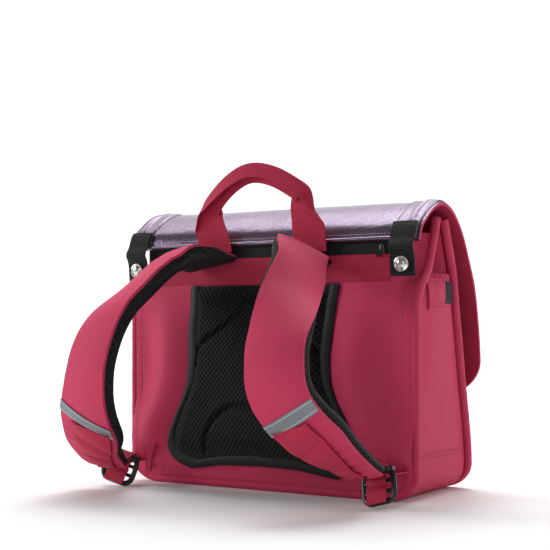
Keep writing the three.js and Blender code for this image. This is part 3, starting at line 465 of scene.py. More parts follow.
# Glass-bead tape: grey with fine slanted stripes of painted sheen, between two pale lines
TAPE_GREY = reflective_tape("grey_reflective_tape")
# Nickel plate on pressed steel: small, sharp, white reflections
SILVER = plain("nickel_plated_steel", "#DCDAD6", "#CFCCC6", 0.18, 300.0, 0.02, Metallic=1.0)
# Spun polyester threads: a shade off what they are sewn on, so that each stitch shows
PINK_THREAD = plain("raspberry_thread", "#A8385A", "#8E2C4B", 0.6)
LILAC_THREAD = plain("lilac_thread", "#D9C2DA", "#BBA0BE", 0.5)
BLACK_THREAD = plain("black_thread", "#1E1E1E", "#121212", 0.6)
TAPE_THREAD = plain("pale_grey_thread", "#D2D3CF", "#B9BCB8", 0.6)


# Meshes


def finish_mesh(name, vertices, faces, uvs, materials, picks=None, replaced=(), sharp=40):
    """Makes a closed piece from points in millimetres, facing outwards, and says which node it dresses."""
    mesh = bpy.data.meshes.new(name)
    mesh.from_pydata([tuple(c * MM for c in v) for v in vertices], [], faces)
    layer = mesh.uv_layers.new(name="UVMap")
    flat = [c * MM for face in uvs for pair in face for c in pair]
    layer.data.foreach_set("uv", flat)
    for material in materials:
        mesh.materials.append(material)
    mesh.polygons.foreach_set("material_index", picks or [0] * len(faces))
    mesh.shade_smooth()
    mesh.set_sharp_from_angle(angle=math.radians(sharp))
    mesh.validate()
    if signed_volume(mesh) < 0:
        mesh.flip_normals()
    piece = bpy.data.objects.new("dressed_" + name, mesh)
    bpy.context.scene.collection.objects.link(piece)
    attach(piece, "root")
    if replaced:
        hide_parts(*replaced)
    return piece


def grid_lengths(grid, centred=False):
    """Distances along the rows and columns of a grid through its middle, for the weave's coordinates."""
    mid_col = len(grid[0]) // 2
    mid_row = len(grid) // 2
    along = [0.0]
    for a, b in zip(grid, grid[1:]):
        along.append(along[-1] + (Vector(b[mid_col]) - Vector(a[mid_col])).length)
    across = [0.0]
    for a, b in zip(grid[mid_row], grid[mid_row][1:]):
        across.append(across[-1] + (Vector(b) - Vector(a)).length)
    if centred:
        along = [v - along[-1] / 2 for v in along]
    return along, across


def shell(name, outer, inner, face, back=None, rim=None, uv=None, sharp=40, centred=False):
    """A closed piece between two grids of points, with its weave's coordinates in millimetres."""
    rows, cols = len(outer), len(outer[0])
    vertices = [p for row in outer for p in row] + [p for row in inner for p in row]
    under = rows * cols
    along, across = grid_lengths(outer, centred)
    place = uv or (lambda i, j: (along[i], across[j]))
    quads, uvs, picks = [], [], []

    def quad(corners, pairs, pick):
        quads.append(corners)
        uvs.append(pairs)
        picks.append(pick)

    for i in range(rows - 1):
        for j in range(cols - 1):
            ring = [(i, j), (i + 1, j), (i + 1, j + 1), (i, j + 1)]
            quad([a * cols + b for a, b in ring], [place(a, b) for a, b in ring], 0)
            ring = ring[::-1]
            quad([under + a * cols + b for a, b in ring], [place(a, b) for a, b in ring], 1)
    edge = [(i, 0) for i in range(rows)] + [(rows - 1, j) for j in range(1, cols)]
    edge += [(i, cols - 1) for i in range(rows - 2, -1, -1)] + [(0, j) for j in range(cols - 2, 0, -1)]
    for k, a in enumerate(edge):
        b = edge[(k + 1) % len(edge)]
        ring = [b[0] * cols + b[1], a[0] * cols + a[1]]
        quad(
            [ring[0], ring[1], under + ring[1], under + ring[0]],
            [place(*b), place(*a), place(*a), place(*b)],
            2,
        )
    return finish_mesh(name, vertices, quads, uvs, [face, back or face, rim or face], picks, [name], sharp)


def signed_volume(mesh):
    total = 0.0
    points = [v.co for v in mesh.vertices]
    for polygon in mesh.polygons:
        ids = polygon.vertices
        for k in range(1, len(ids) - 1):
            total += points[ids[0]].dot(points[ids[k]].cross(points[ids[k + 1]]))
    return total


def normals(grid):
    last_i, last_j = len(grid) - 1, len(grid[0]) - 1
    rows = []
    for i, row in enumerate(grid):
        line = []
        for j in range(len(row)):
            along = Vector(grid[min(i + 1, last_i)][j]) - Vector(grid[max(i - 1, 0)][j])
            across = Vector(row[min(j + 1, last_j)]) - Vector(row[max(j - 1, 0)])
            line.append(along.cross(across).normalized())
        rows.append(line)
    return rows


def offset(grid, distance):
    """The same grid moved along its normals; the distance may be a function of row and column."""
    facing = normals(grid)
    give = distance if callable(distance) else (lambda i, j: distance)
    return [[Vector(p) + facing[i][j] * give(i, j) for j, p in enumerate(row)] for i, row in enumerate(grid)]


def grid_of(rows, cols, place):
    return [[Vector(place(u, v)) for v in cols] for u in rows]


def flipped(grid):
    return [[Vector((-p[0], p[1], p[2])) for p in row] for row in grid]


def skin(name, path, rings, material, replaced=(), closed=False, girth=1, sharp=50):
    """A piece over rings of points along a path, closed at its ends or into a ring."""
    count, size = len(rings), len(rings[0])
    faces, uvs = [], []
    run = 0.0
    for i in range(count if closed else count - 1):
        k = (i + 1) % count
        far = run + (path[k] - path[i]).length
        for j in range(size):
            m = (j + 1) % size
            low, high = girth * j, girth * (j + 1)
            faces.append([i * size + j, k * size + j, k * size + m, i * size + m])
            uvs.append([(run, low), (far, low), (far, high), (run, high)])
        run = far
    if not closed:
        faces += [list(range(size)), list(range(count * size - 1, (count - 1) * size - 1, -1))]
        uvs += [[(0, 0)] * size] * 2
    vertices = [p for ring in rings for p in ring]
    finish_mesh(name, vertices, faces, uvs, [material], None, replaced, sharp)


def sweep(name, path, section, material, replaced=(), closed=False, up=None):
    """A section carried along a line, given as (side, up) points for each station."""
    count = len(path)
    rings = []
    for i, p in enumerate(path):
        ahead = path[(i + 1) % count] if closed else path[min(i + 1, count - 1)]
        behind = path[i - 1] if closed else path[max(i - 1, 0)]
        side = (ahead - behind).normalized().cross(up).normalized()
        top = side.cross((ahead - behind).normalized())
        shape = section(i / max(1, count - 1)) if callable(section) else section
        rings.append([p + side * a + top * b for a, b in shape])
    skin(name, path, rings, material, replaced, closed)


def oval(wide, high, count):
    """Points of an oval section from its half width and half height."""
    return [(wide * math.cos(a), high * math.sin(a)) for a in (2 * math.pi * k / count for k in range(count))]


def resample(path, pitch):
    points = np.array([tuple(p) for p in path])
    runs = np.linalg.norm(np.diff(points, axis=0), axis=1)
    at = np.concatenate([[0], np.cumsum(runs)])
    count = max(2, int(at[-1] / pitch))
    return [Vector([float(np.interp(s, at, points[:, k])) for k in range(3)]) for s in np.linspace(0, at[-1], count)]


def stitches(name, paths, material, radius=STITCH["radius"]):
    """Rows of lockstitch: each stitch is a short thread bent down into the cloth at both ends."""
    vertices, faces = [], []
    stations = [(-0.5, 0.35), (-0.32, 0.95), (0.32, 0.95), (0.5, 0.35)]
    for path in paths:
        line = resample(path, STITCH["pitch"])
        for i, p in enumerate(line):
            tangent = (line[min(i + 1, len(line) - 1)] - line[max(i - 1, 0)]).normalized()
            guide = Vector((0, 0, 1)) if abs(tangent.z) < 0.9 else Vector((0, 1, 0))
            side = tangent.cross(guide).normalized()
            top = side.cross(tangent)
            base = len(vertices)
            for place, thick in stations:
                for k in range(6):
                    a = k * math.pi / 3
                    round_it = (side * math.cos(a) + top * math.sin(a)) * radius * thick
                    vertices.append(p + tangent * (place * STITCH["long"]) + round_it)
            for s in range(3):
                for k in range(6):
                    m = (k + 1) % 6
                    faces.append([base + s * 6 + k, base + s * 6 + m, base + s * 6 + 6 + m, base + s * 6 + 6 + k])
            faces.append([base + k for k in range(5, -1, -1)])
            faces.append([base + 18 + k for k in range(6)])
    uvs = [[(0, 0)] * len(face) for face in faces]
    finish_mesh(name, vertices, faces, uvs, [material], None, (), 80)


# Body: where the rolled edges and the cloth between them run


def back_edge(z):
    return BACK + DEPTH * read(SIDE_PROFILE, "up", "back", z / SIDE_TOP)


def front_edge(z):
    return -BACK - DEPTH * read(SIDE_PROFILE, "up", "front", z / SIDE_TOP)


def away(edge, z):
    slope = (edge(z + 1) - edge(z - 1)) / 2
    return ROLL + ROLL * math.hypot(1, slope) + 2 * GAP


def span(z):
    return back_edge(z) + away(back_edge, z), front_edge(z) - away(front_edge, z)


def around_the_bag(out, top, side_steps=60, corner_steps=14, base_steps=24):
    half = WIDTH / 2 + out
    floor = GUSSET_FLOOR - out
    radius = CORNER + out
    right = [{"x": half, "z": mix(top, floor + radius, t), "nx": 1, "nz": 0} for t in steps(side_steps)]
    for t in steps(corner_steps)[1:]:
        c, s = math.cos(t * math.pi / 2), math.sin(t * math.pi / 2)
        right.append({"x": half - radius + radius * c, "z": floor + radius - radius * s, "nx": c, "nz": -s})
    flat = half - radius
    base = [{"x": mix(flat, -flat, t), "z": floor, "nx": 0, "nz": -1} for t in steps(base_steps)[1:-1]]
    left = [{**p, "x": -p["x"], "nx": -p["nx"]} for p in reversed(right)]
    return right + base + left


def gusset():
    """Side and base cloth in one strip, pinched inwards between the rolled edges at the top."""
    def place(p, f):
        deep = SINK * 1.12 * read(SIDE_PROFILE, "up", "sink", p["z"] / SIDE_TOP) * read(FOLD, "across", "deep", f)
        low, high = span(p["z"])
        y = mix(low, high, f)
        loose = smooth(p["z"], 60, 200) * math.sin(math.pi * f)
        deep += loose * waviness((p["x"], y, p["z"]), 34, 1.6)
        return p["x"] - p["nx"] * deep, y, p["z"] - p["nz"] * deep
    stations = around_the_bag(0, SIDE_TOP)
    outer = grid_of(stations, steps(26), place)
    shell("gusset", outer, offset(outer, -CLOTH), PINK, LINING, LINING)


def base_wrap():
    """Second layer of cloth round the base, its top edge turned under and stitched."""
    stations = around_the_bag(CLOTH + GAP, BASE_WRAP_TOP, 14, 14, 20)
    def place(p, t):
        low, high = span(p["z"])
        return p["x"], mix(low, high, t), p["z"]
    outer = grid_of(stations, steps(20), place)
    shell("base_wrap", outer, offset(outer, -CLOTH), PINK)
    rows = []
    for side in (1, -1):
        for down in (2.6, 6.4):
            z = BASE_WRAP_TOP - down
            low, high = span(z)
            rows.append([(side * (WIDTH / 2 + CLOTH + GAP + 0.1), mix(low + 2, high - 2, t), z) for t in steps(20)])
    stitches("base_wrap_stitches", rows, PINK_THREAD)


def rolled_edge(name, edge, inward):
    """The seam's allowance rolled into a fat cord, with the small puckers that its stitching pulls in."""
    stations = around_the_bag(ROLL_OUT, SIDE_TOP, 150, 30, 120)
    path = []
    for p in stations:
        lift = ROLL_LIFT * max(0, -p["nz"])
        path.append(Vector((p["x"], edge(p["z"]) + inward * ROLL, p["z"] + lift)))
    outward = [Vector((p["nx"], 0, p["nz"])) for p in stations]
    count = len(path)
    rings = []
    run = 0.0
    for i, p in enumerate(path):
        tangent = (path[min(i + 1, count - 1)] - path[max(i - 1, 0)]).normalized()
        out = (outward[i] - tangent * tangent.dot(outward[i])).normalized()
        side = tangent.cross(out)
        run += (p - path[max(i - 1, 0)]).length
        pucker = 0.10 * math.sin(run * 2 * math.pi / 9.0) + waviness(p, 16, 0.35)
        ring = []
        for a in (math.pi * k / 8 for k in range(16)):
            flat = 1.0 - 0.10 * max(0.0, -math.cos(a))
            r = (ROLL - 0.25) * flat + pucker * (0.4 + 0.6 * abs(math.sin(a)))
            ring.append(p + out * r * math.cos(a) + side * r * math.sin(a))
        rings.append(ring)
    skin(name, path, rings, PINK, [name], False, 2, 60)
    row = [p + o * (ROLL * 0.42) - Vector((0, inward * ROLL * -0.93, 0)) for p, o in zip(path, outward)]
    stitches(name + "_stitches", [row[6:-6]], PINK_THREAD)


def pocket_swell(y, z):
    low, high = span(z)
    t = min(1.0, max(0.0, (y - low) / (high - low)))
    u = min(1.0, max(0.0, (z - BASE_WRAP_TOP) / (POCKET_TOP - BASE_WRAP_TOP)))
    gathers = 0.9 * smooth(u, 0.9, 1.0) * math.sin(y * 2 * math.pi / GATHER_PITCH) * math.sin(math.pi * t)
    soft = waviness((0, y, z), 42, 2.2, 3.0) * math.sin(math.pi * t) * smooth(u, 0.05, 0.4)
    return POCKET_SWELL * u * math.sin(math.pi * t) + gathers + soft + 1.0 * math.sin(math.pi * t)


def side_pocket(side):
    """Flat pocket between the rolled edges; its elastic hem is gathered in small ruffles."""
    low_z = BASE_WRAP_TOP + GAP
    def place(u, v):
        z = mix(low_z, POCKET_TOP, u)
        low, high = span(z)
        y = mix(low + GAP, high - GAP, v)
        ruffle = 1.6 * smooth(u, 0.965, 1.0) * math.sin(y * 2 * math.pi / GATHER_PITCH + 1.0)
        return WIDTH / 2 + pocket_swell(y, z) + GAP + CLOTH, y, z + ruffle
    rows = [t * 0.9 for t in steps(50)] + [0.9 + 0.1 * t for t in steps(14)[1:]]
    outer = grid_of(rows, steps(60), place)
    outer = outer if side > 0 else flipped(outer)
    name = "side_pocket_" + NAMED[side]
    inner = offset(outer, -1.4 if normals(outer)[20][30].x * side > 0 else 1.4)
    shell(name, outer, inner, PINK, LINING)
    rows = []
    for down in (3.0, 7.0):
        z = POCKET_TOP - down
        low, high = span(z)
        ys = [mix(low + 2, high - 2, t) for t in steps(60)]
        rows.append([(side * (WIDTH / 2 + pocket_swell(y, z) + GAP + CLOTH + 0.1), y, z) for y in ys])
    stitches(name + "_stitches", rows, PINK_THREAD)


def on_pocket(name, place_at, material, side, ease):
    """A flat piece sewn on the side pocket, eased a little away from it between its seams."""
    def place(lift):
        def point(u, v):
            z = mix(place_at["low"], place_at["high"], u)
            y = mix(place_at["back"], place_at["front"], v)
            loose = ease * math.sin(math.pi * u) ** 0.6 * (1 + waviness((0, y, z), 9, 0.5, 5.0))
            return side * (WIDTH / 2 + pocket_swell(y, z) + 2 * GAP + CLOTH + lift + loose), y, z
        return grid_of(steps(22), steps(24), point)
    shell(name, place(WEBBING), place(0.0), material)


def side_patch(side):
    """Webbing patch under the pocket's hem with its rows of stitches, and the black band beside it."""
    on_pocket("side_loop_" + NAMED[side], PATCH, PINK, side, 1.2)
    on_pocket("side_webbing_" + NAMED[side], SIDE_BAND, BLACK_BAND, side, 0.8)
    rows = []
    for z in (PATCH["high"] - 3, PATCH["high"] - 6.5, PATCH["low"] + 3, PATCH["low"] + 6.5):
        row = []
        for t in steps(30):
            y = mix(PATCH["back"] + 1, PATCH["front"] - 1, t)
            row.append((side * (WIDTH / 2 + pocket_swell(y, z) + 2 * GAP + CLOTH + WEBBING + 0.9), y, z))
        rows.append(row)
    stitches("side_loop_stitches_" + NAMED[side], rows, PINK_THREAD)


def gusset_stud(side):
    """Small press stud that holds the gusset's fold near its top."""
    z = SIDE_TOP - GUSSET_STUD["down"]
    low, high = span(z)
    deep = SINK * read(SIDE_PROFILE, "up", "sink", z / SIDE_TOP)
    at = Vector((side * (WIDTH / 2 - deep * 0.72), (low + high) / 2, z))
    facing = Vector((side, 0, 0.15)).normalized()
    snap("gusset_stud_" + NAMED[side], at, facing, GUSSET_STUD["radius"], GUSSET_STUD["high"])


# Back panel


def pad_half(z):
    return PAD_HALF * read(PAD_SIDES, "up", "half", (z - PAD_FOOT) / (PAD_TOP - PAD_FOOT))


def corner_lean(x, z):
    return (back_edge(z) - BACK) * smooth(abs(x), LEAN_FROM, PANEL_HALF)


def back_face(x, z):
    """Outer face of the back: full foam bolsters between the pad and the seams."""
    up = read(SWELL_UP, "up", "share", z / STRIP_HIGH)
    beyond = abs(x) - pad_half(z)
    if beyond < BOLSTER["crest"]:
        rise = math.sin(math.pi / 2 * max(0.0, beyond) / BOLSTER["crest"])
        across = mix(BOLSTER["under_pad"], 1.0, rise)
    else:
        across = 1 - smooth(beyond, BOLSTER["crest"], BOLSTER["foot"])
    return BACK + corner_lean(x, z) - BOLSTER["high"] * up * across


def panel_half(z):
    radius = CORNER - ROLL
    down = max(0.0, PANEL_FLOOR + radius - z)
    return PANEL_HALF - radius + math.sqrt(max(0.0, radius * radius - down * down))


def back_panel():
    """Cloth over foam and board, smooth on the bolsters, pulled in along the seam by its stitching."""
    cols = [math.copysign(1 - (1 - abs(c)) ** 1.25, c) for c in even(150)]
    def place(face):
        def point(u, v):
            top = mix(STRIP_HIGH - CLOTH, SIDE_TOP - 3 * ROLL, smooth(abs(v), 0.90, 0.97))
            z = mix(PANEL_FLOOR, top, u)
            x = v * panel_half(z)
            out_x, out_z = lap(x, z) if face is outside else (x, z)
            return out_x, face(x, z), out_z
        return grid_of(steps(120), cols, point)
    def lap(x, z):
        over = 6.0 * (1 - smooth(min(panel_half(z) - abs(x), z - PANEL_FLOOR), 0, 9))
        down = smooth(PANEL_FLOOR + 40 - z, 0, 40)
        return x + math.copysign(over, x) * smooth(abs(x), 60, 120), z - over * down
    def outside(x, z):
        rim = min(panel_half(z) - abs(x), z - PANEL_FLOOR)
        pull = 0.5 * math.exp(-((rim - SEAM_IN) / 2.5) ** 2) + 2.6 * (1 - smooth(rim, 0, 4.5))
        pucker = 0.35 * math.exp(-((rim - SEAM_IN) / 7) ** 2) * math.sin((x + z) * 2 * math.pi / 11)
        return back_face(x, z) + pull + pucker + waviness((x, 0, z), 55, 1.1, 1.0)
    outer = place(outside)
    inner = place(lambda x, z: BACK + corner_lean(x, z) + PANEL_THICK)
    shell("back_panel", outer, inner, PINK, LINING)
    def seam(t):
        angle = t * math.pi / 2
        radius = CORNER - ROLL - SEAM_IN
        return (
            PANEL_HALF - SEAM_IN - radius + radius * math.cos(angle),
            PANEL_FLOOR + SEAM_IN + radius - radius * math.sin(angle),
        )
    right = [(PANEL_HALF - SEAM_IN, mix(BAND_LOW - 3, PANEL_FLOOR + CORNER, t)) for t in steps(60)]
    right += [seam(t) for t in steps(8)[1:]]
    line = right + [(mix(seam(1)[0], -seam(1)[0], t), PANEL_FLOOR + SEAM_IN) for t in steps(90)[1:-1]]
    line += [(-x, z) for x, z in reversed(right)]
    stitches("back_panel_stitches", [[(x, outside(x, z) - 0.05, z) for x, z in line]], PINK_THREAD)


def front_panel():
    def place(back):
        def point(u, v):
            z = mix(PANEL_FLOOR, SIDE_TOP - ROLL, u)
            x = v * panel_half(z)
            return x, front_edge(z) - CLOTH - back + waviness((x, 9, z), 60, 0.8, 2.0), z
        return grid_of(steps(60), even(70), point)
    shell("front_panel", place(0), place(3), PINK, LINING)


def front_pocket():
    """Slightly full patch pocket on the front, its hem under the flap."""
    rows, cols = steps(50), even(80)
    def place(u, v):
        z = mix(FRONT_POCKET["low"], FRONT_POCKET["high"], u)
        x = v * FRONT_POCKET["half"]
        foot = front_edge(z) - GAP - CLOTH + 0.5
        full = max(0, FRONT_POCKET["face"] - foot)
        opened = smooth(1 - abs(v), 0, 0.12) * smooth(u, -0.01, 0.2)
        return x, foot + full * opened + opened * waviness((x, 7, z), 48, 1.2, 6.0) + 1.2, z
    outer = grid_of(rows, cols, place)
    inner = [[p - Vector((0, 1.2, 0)) for p in row] for row in outer]
    shell("front_pocket", outer, inner, PINK, LINING)
    rim = [[(0.97, v) for v in cols[2:-2]], [(0.02, v * 0.96) for v in cols]]
    rim += [[(u, side * 0.975) for u in rows[2:-1]] for side in (1, -1)]
    lines = [[Vector(place(u, v)) + Vector((0, 0.1, 0)) for u, v in line] for line in rim]
    stitches("front_pocket_stitches", lines, PINK_THREAD)


# Bands across the back


def band_on_back(name, low, high, material, bulge):
    def place(off):
        def point(u, v):
            x = (2 * v - 1) * BAND_END
            z = mix(low, high, u)
            soft = bulge * math.sin(math.pi * u) + waviness((x, 3, z), 40, 0.5, 4.0)
            return x, BACK - GAP - off - (soft if off else 0), z
        return grid_of(steps(10), steps(120), point)
    length = 2 * BAND_END
    uv = lambda i, j: (j * length / 120, i * (high - low) / 10)
    if material is PINK_BAND:
        uv = lambda i, j: (i * (high - low) / 10, j * length / 120)
    shell(name, place(WEBBING), place(0), material, uv=uv)


def zip_parts():
    """Moulded zip slider on the black strip, with its webbing pull."""
    y = BACK - 2 * GAP - WEBBING
    path = [Vector((SLIDER["x"], y - 1.6, SLIDER["z"] - 5 + t * 10)) for t in steps(12)]
    def section(t):
        wide = 3.9 - 1.2 * smooth(t, 0.55, 1.0)
        return oval(wide, 1.5, 16)
    sweep("zip_slider", path, section, PLASTIC, ["zip_slider"], up=Vector((0, -1, 0)))
    outer = grid_of(steps(12), steps(4), lambda u, v: (
        SLIDER["x"] - 1 + (v - 0.5) * 6 - u * 3, y - 2.4 - 0.8 * math.sin(u * 3), SLIDER["z"] + 1 - u * 9))
    shell("zip_pull", outer, [[p + Vector((0, 1.3, 0)) for p in row] for row in outer], BLACK_BAND)


# Back pad


def channel(x, z):
    side = abs(x)
    wing = mix(0.13, 0.66, smooth(PAD_TOP - z, 0, PAD_TOP * 0.36) ** 1.6) * PAD_HALF
    upper = abs(side - wing) * 0.8 if z > PAD_TOP * 0.60 else 2 * CHANNEL_HALF
    arch_half = PAD_HALF * 0.60
    if side < arch_half:
        rise = (PAD_TOP * 0.42 - PAD_FOOT) * math.sqrt(max(0.0, 1 - (side / arch_half) ** 3))
        slope = max(1.0, 1.6 * (side / arch_half) ** 3 / max(0.12, math.sqrt(max(0.0, 1 - (side / arch_half) ** 3))))
        lower = abs(z - PAD_FOOT - rise) / math.hypot(1, slope * 0.6)
    else:
        lower = 2 * CHANNEL_HALF
    near = min(upper, lower)
    return CHANNEL * (1 - smooth(near, 0, CHANNEL_HALF)) ** 1.4


def pad_place(across, up, inset, off):
    foot = PAD_FOOT + inset + (PAD_TOP - PAD_FOOT) * read(PAD_EDGE, "across", "rise", abs(across))
    z = mix(foot, PAD_TOP, up)
    share = (z - PAD_FOOT - inset) / (PAD_TOP - PAD_FOOT - inset)
    x = across * (PAD_HALF * read(PAD_SIDES, "up", "half", share) - inset)
    return Vector((x, back_face(x, z) - GAP - off, z))


def hole_depth(x, z):
    """The mesh's holes as real dimples, on the same staggered rows as its material."""
    nearest = 1.0
    for shift in (0.0, 0.5):
        a = (x / HOLES["across"] + shift) % 1 - 0.5
        b = (z / HOLES["tall"] + shift) % 1 - 0.5
        nearest = min(nearest, math.hypot(a, b))
    return 0.9 * (1 - smooth(nearest, 0.14, 0.34))


def back_pad():
    """Foam pad under air mesh: crowned fields between sewn channels."""
    rows, cols = steps(170), even(190)
    flat = [[pad_place(v, u, BINDING - 3, 0) for v in cols] for u in rows]
    outer = []
    for i, u in enumerate(rows):
        line = []
        for j, v in enumerate(cols):
            p = flat[i][j]
            rim = min(1 - abs(v), u, 1.2 * (1 - u))
            crown = smooth(rim, 0, 0.16)
            thick = mix(2.0, PAD_THICK, crown) - channel(p.x, p.z) * smooth(rim, 0, 0.1)
            thick += waviness((p.x, 0, p.z), 30, 1.0, 8.0) * crown
            thick -= hole_depth(p.x, p.z) * smooth(rim, 0.02, 0.07)
            line.append(Vector((p.x, p.y - thick, p.z)))
        outer.append(line)
    uv = lambda i, j: (flat[i][j].x, flat[i][j].z)
    shell("back_pad", outer, flat, MESH, BLACK_TAPE, BLACK_TAPE, uv=uv, sharp=80)


def pad_rim():
    rim = [(1, u) for u in [1 - t for t in steps(90)]]
    rim += [(1 - 2 * t, 0) for t in steps(90)[1:-1]]
    rim += [(-1, u) for u in steps(90)]
    return rim


def pad_binding():
    """Smooth black tape folded over the pad's edge, softly rounded."""
    def place(thick_at):
        def point(spot, t):
            p = pad_place(*spot, BINDING * 1.02 * t, 0)
            return Vector((p.x, p.y - thick_at(t), p.z))
        return grid_of(pad_rim(), steps(10), point)
    def roundness(t):
        return 0.4 + 3.2 * math.sin(math.pi * min(1.0, 0.08 + 0.84 * t)) ** 0.5 + 0.8 * t
    outer = place(roundness)
    for p in (p for row in outer for p in row):
        p.y -= waviness(p, 14, 0.35, 9.0)
    shell("pad_binding", outer, place(lambda t: 0.0), BLACK_TAPE, sharp=70)
    inner_row = [row[9] + Vector((0, -0.05, 0)) for row in outer]
    stitches("pad_binding_stitches", [inner_row], BLACK_THREAD)


# Flap

FLAP_START = BACK - 3 * GAP - WEBBING - FLAP


def flap_course():
    drop = (FLAP_REAR - FLAP_END) / -FLAP_COURSE[-1]["up"]
    points = []
    for row in FLAP_COURSE:
        z = FLAP_REAR + row["up"] * (FLAP_TOP - FLAP_REAR if row["up"] > 0 else drop)
        points.append((0, mix(FLAP_START, FLAP_FRONT, row["ahead"]), z))
    return Course(points)


FLAP_LINE = flap_course()


def flap_point(x, t, off):
    p, d = FLAP_LINE.point(t), FLAP_LINE.tangent(t)
    return Vector((x + FLAP_SHIFT, p.y - d.z * off, p.z + d.y * off))


def flap_half(t, inset):
    left = (1 - t) * FLAP_LINE.length - inset
    radius = FLAP_CORNER - inset
    into = max(0.0, radius - left)
    return FLAP_HALF - inset - radius + math.sqrt(max(0.0, radius * radius - into * into))


FLAP_ROWS = [t * 0.88 for t in steps(120)] + [0.88 + 0.12 * t ** 0.7 for t in steps(26)[1:]]


def flap_soft(x, t):
    """Soft unevenness of the leatherette: stiff over the top, with low waves along the rear edge."""
    rear = math.exp(-(t / 0.10) ** 2)
    return waviness((x, t * 400, 0), 70, 0.9, 11.0) + rear * waviness((x, t * 300, 5), 22, 0.8, 12.0)


def flap():
    """Leatherette over foam with a cloth lining: the edge and inside show the lining's pink."""
    def place(face):
        def point(t, v):
            half = flap_half(t, 0)
            x = v * half
            return flap_point(x, t, face(x, t, 1 - smooth(half - abs(x), 0, 4)))
        return grid_of(FLAP_ROWS, even(120), point)
    outer = place(lambda x, t, edge: flap_soft(x, t) - 0.9 * edge)
    inner = place(lambda x, t, edge: -FLAP + 0.5 * edge)
    piece = shell("flap", outer, inner, FOIL, LINING, PINK)
    for polygon in piece.data.polygons:
        if polygon.material_index == 2 and polygon.center.y < (BACK - 2) * MM:
            if abs(polygon.center.x / MM - FLAP_SHIFT) < FLAP_HALF - 1:
                polygon.material_index = 0


def flap_border(side):
    """Raised side border: a second layer of leatherette with a double row of stitches and a ridge."""
    rows = [t for t in FLAP_ROWS if t < 0.985]
    def place(raised):
        def point(t, v):
            x = flap_half(t, BORDER_EDGE) - (1 - v) * BORDER
            ridge = 0.0
            if raised:
                ridge = 1.3 * smooth(min(v, 1 - v), 0, 0.06) + 1.3 * math.exp(-((v - 0.55) / 0.05) ** 2)
                ridge += 1.0 * math.exp(-((v - 0.72) / 0.04) ** 2)
            return flap_point(side * x, t, 0.35 + ridge + flap_soft(side * x, t))
        return grid_of(rows, steps(30), point)
    name = "flap_border_" + NAMED[side]
    shell(name, place(True), place(False), FOIL)
    lines = []
    for v in (0.08, 0.63, 0.94):
        line = []
        for t in rows[1:-1]:
            x = flap_half(t, BORDER_EDGE) - (1 - v) * BORDER
            line.append(flap_point(side * x, t, 1.75 + flap_soft(side * x, t)))
        lines.append(line)
    stitches(name + "_stitches", lines, LILAC_THREAD, 0.4)


def flap_welt():
    """Turned rear edge of the flap between the borders, with its row of pale stitches."""
    half = FLAP_HALF - BORDER_EDGE - BORDER - GAP
    cols = [half * (2 * t - 1) for t in steps(110)]
    ends = [0.012 * t for t in steps(8)]
    def place(base):
        def point(t, x):
            swell = 1.5 * math.sin(math.pi * min(1, 0.12 + t / 0.012 * 0.8)) if base else 0
            return flap_point(x, t, 0.3 + swell + flap_soft(x, t))
        return grid_of(ends, cols, point)
    shell("flap_welt", place(True), place(False), FOIL)
    line = [flap_point(x, 0.022, 0.15 + flap_soft(x, 0.022)) for x in cols]
    stitches("flap_welt_stitches", [line], LILAC_THREAD, 0.4)


def flap_clasp(side):
    """Plain moulded clasp plate on the hidden front: a cushioned face with a thumb recess."""
    name = "flap_clasp_" + NAMED[side]
    wide, high, cx = CLASP["wide"], CLASP["high"], side * CLASP["x"] + FLAP_SHIFT
    def place(lift):
        def point(u, v):
            a, b = 2 * u - 1, 2 * v - 1
            squeeze = 1 - 0.10 * (a * a * b * b)
            dome = (1 - a ** 8) * (1 - b ** 8)
            dip = 1.2 * math.exp(-((a + 0.2) ** 2 + b * b) / 0.12)
            y = FLAP_FRONT + 2 * GAP + 0.4 + (lift * (0.55 + 0.45 * dome) - dip if lift else 0)
            return cx + b * wide / 2 * squeeze, y, CLASP["z"] + a * high / 2 * squeeze
        return grid_of(steps(24), steps(26), point)
    shell(name, place(CLASP["thick"]), place(0), PLASTIC)


# Tabs and snaps


def corner_tab(side):
    """Ribbed webbing from under the border, over the flap's rear edge and down, pressed into a kink."""
    off = 2 * GAP + 1.5 + 0.6
    upper = [flap_point(0, t, off) for t in (0.056, 0.04, 0.026, 0.012, 0.0)]
    edge = upper[-1]
    path = [Vector((0, p.y, p.z)) for p in upper]
    path.append(Vector((0, edge.y - TAB["kick"] * 0.6, edge.z - TAB["kick"])))
    path.append(Vector((0, edge.y - TAB["kick"] * 0.1, mix(edge.z, TAB["low"], 0.45))))
    path.append(Vector((0, edge.y + TAB["kick"] * 0.2, TAB["low"])))
    line = Course(path, 12)
    def at(t, x, lift):
        p, d = line.point(t), line.tangent(t)
        return Vector((side * x + FLAP_SHIFT, p.y, p.z)) + Vector((0, d.z, -d.y)) * lift
    def place(lift):
        def point(t, v):
            return at(t, mix(TAB["inner"], TAB["outer"], v), lift + 0.5 * math.sin(math.pi * v))
        return grid_of(steps(70), steps(16), point)
    name = "corner_tab_" + NAMED[side]
    shell(name, place(0), place(WEBBING), BLACK_BAND)
    xs = [mix(TAB["inner"] + 2, TAB["outer"] - 2, v) for v in steps(10)]
    lines = [[at(t, x, 0.7) for x in xs] for t in (0.12, 0.55, 0.96)]
    stitches(name + "_stitches", lines, BLACK_THREAD)
    middle = side * (TAB["inner"] + TAB["outer"]) / 2 + FLAP_SHIFT
    middle_of_snap = Vector((middle, edge.y - TAB["kick"] * 0.1 - WEBBING - 0.4, TAB["stud"]))
    snap("tab_snap_" + NAMED[side], middle_of_snap, Vector((0, -1, 0)), TAB_SNAP["radius"], TAB_SNAP["high"])


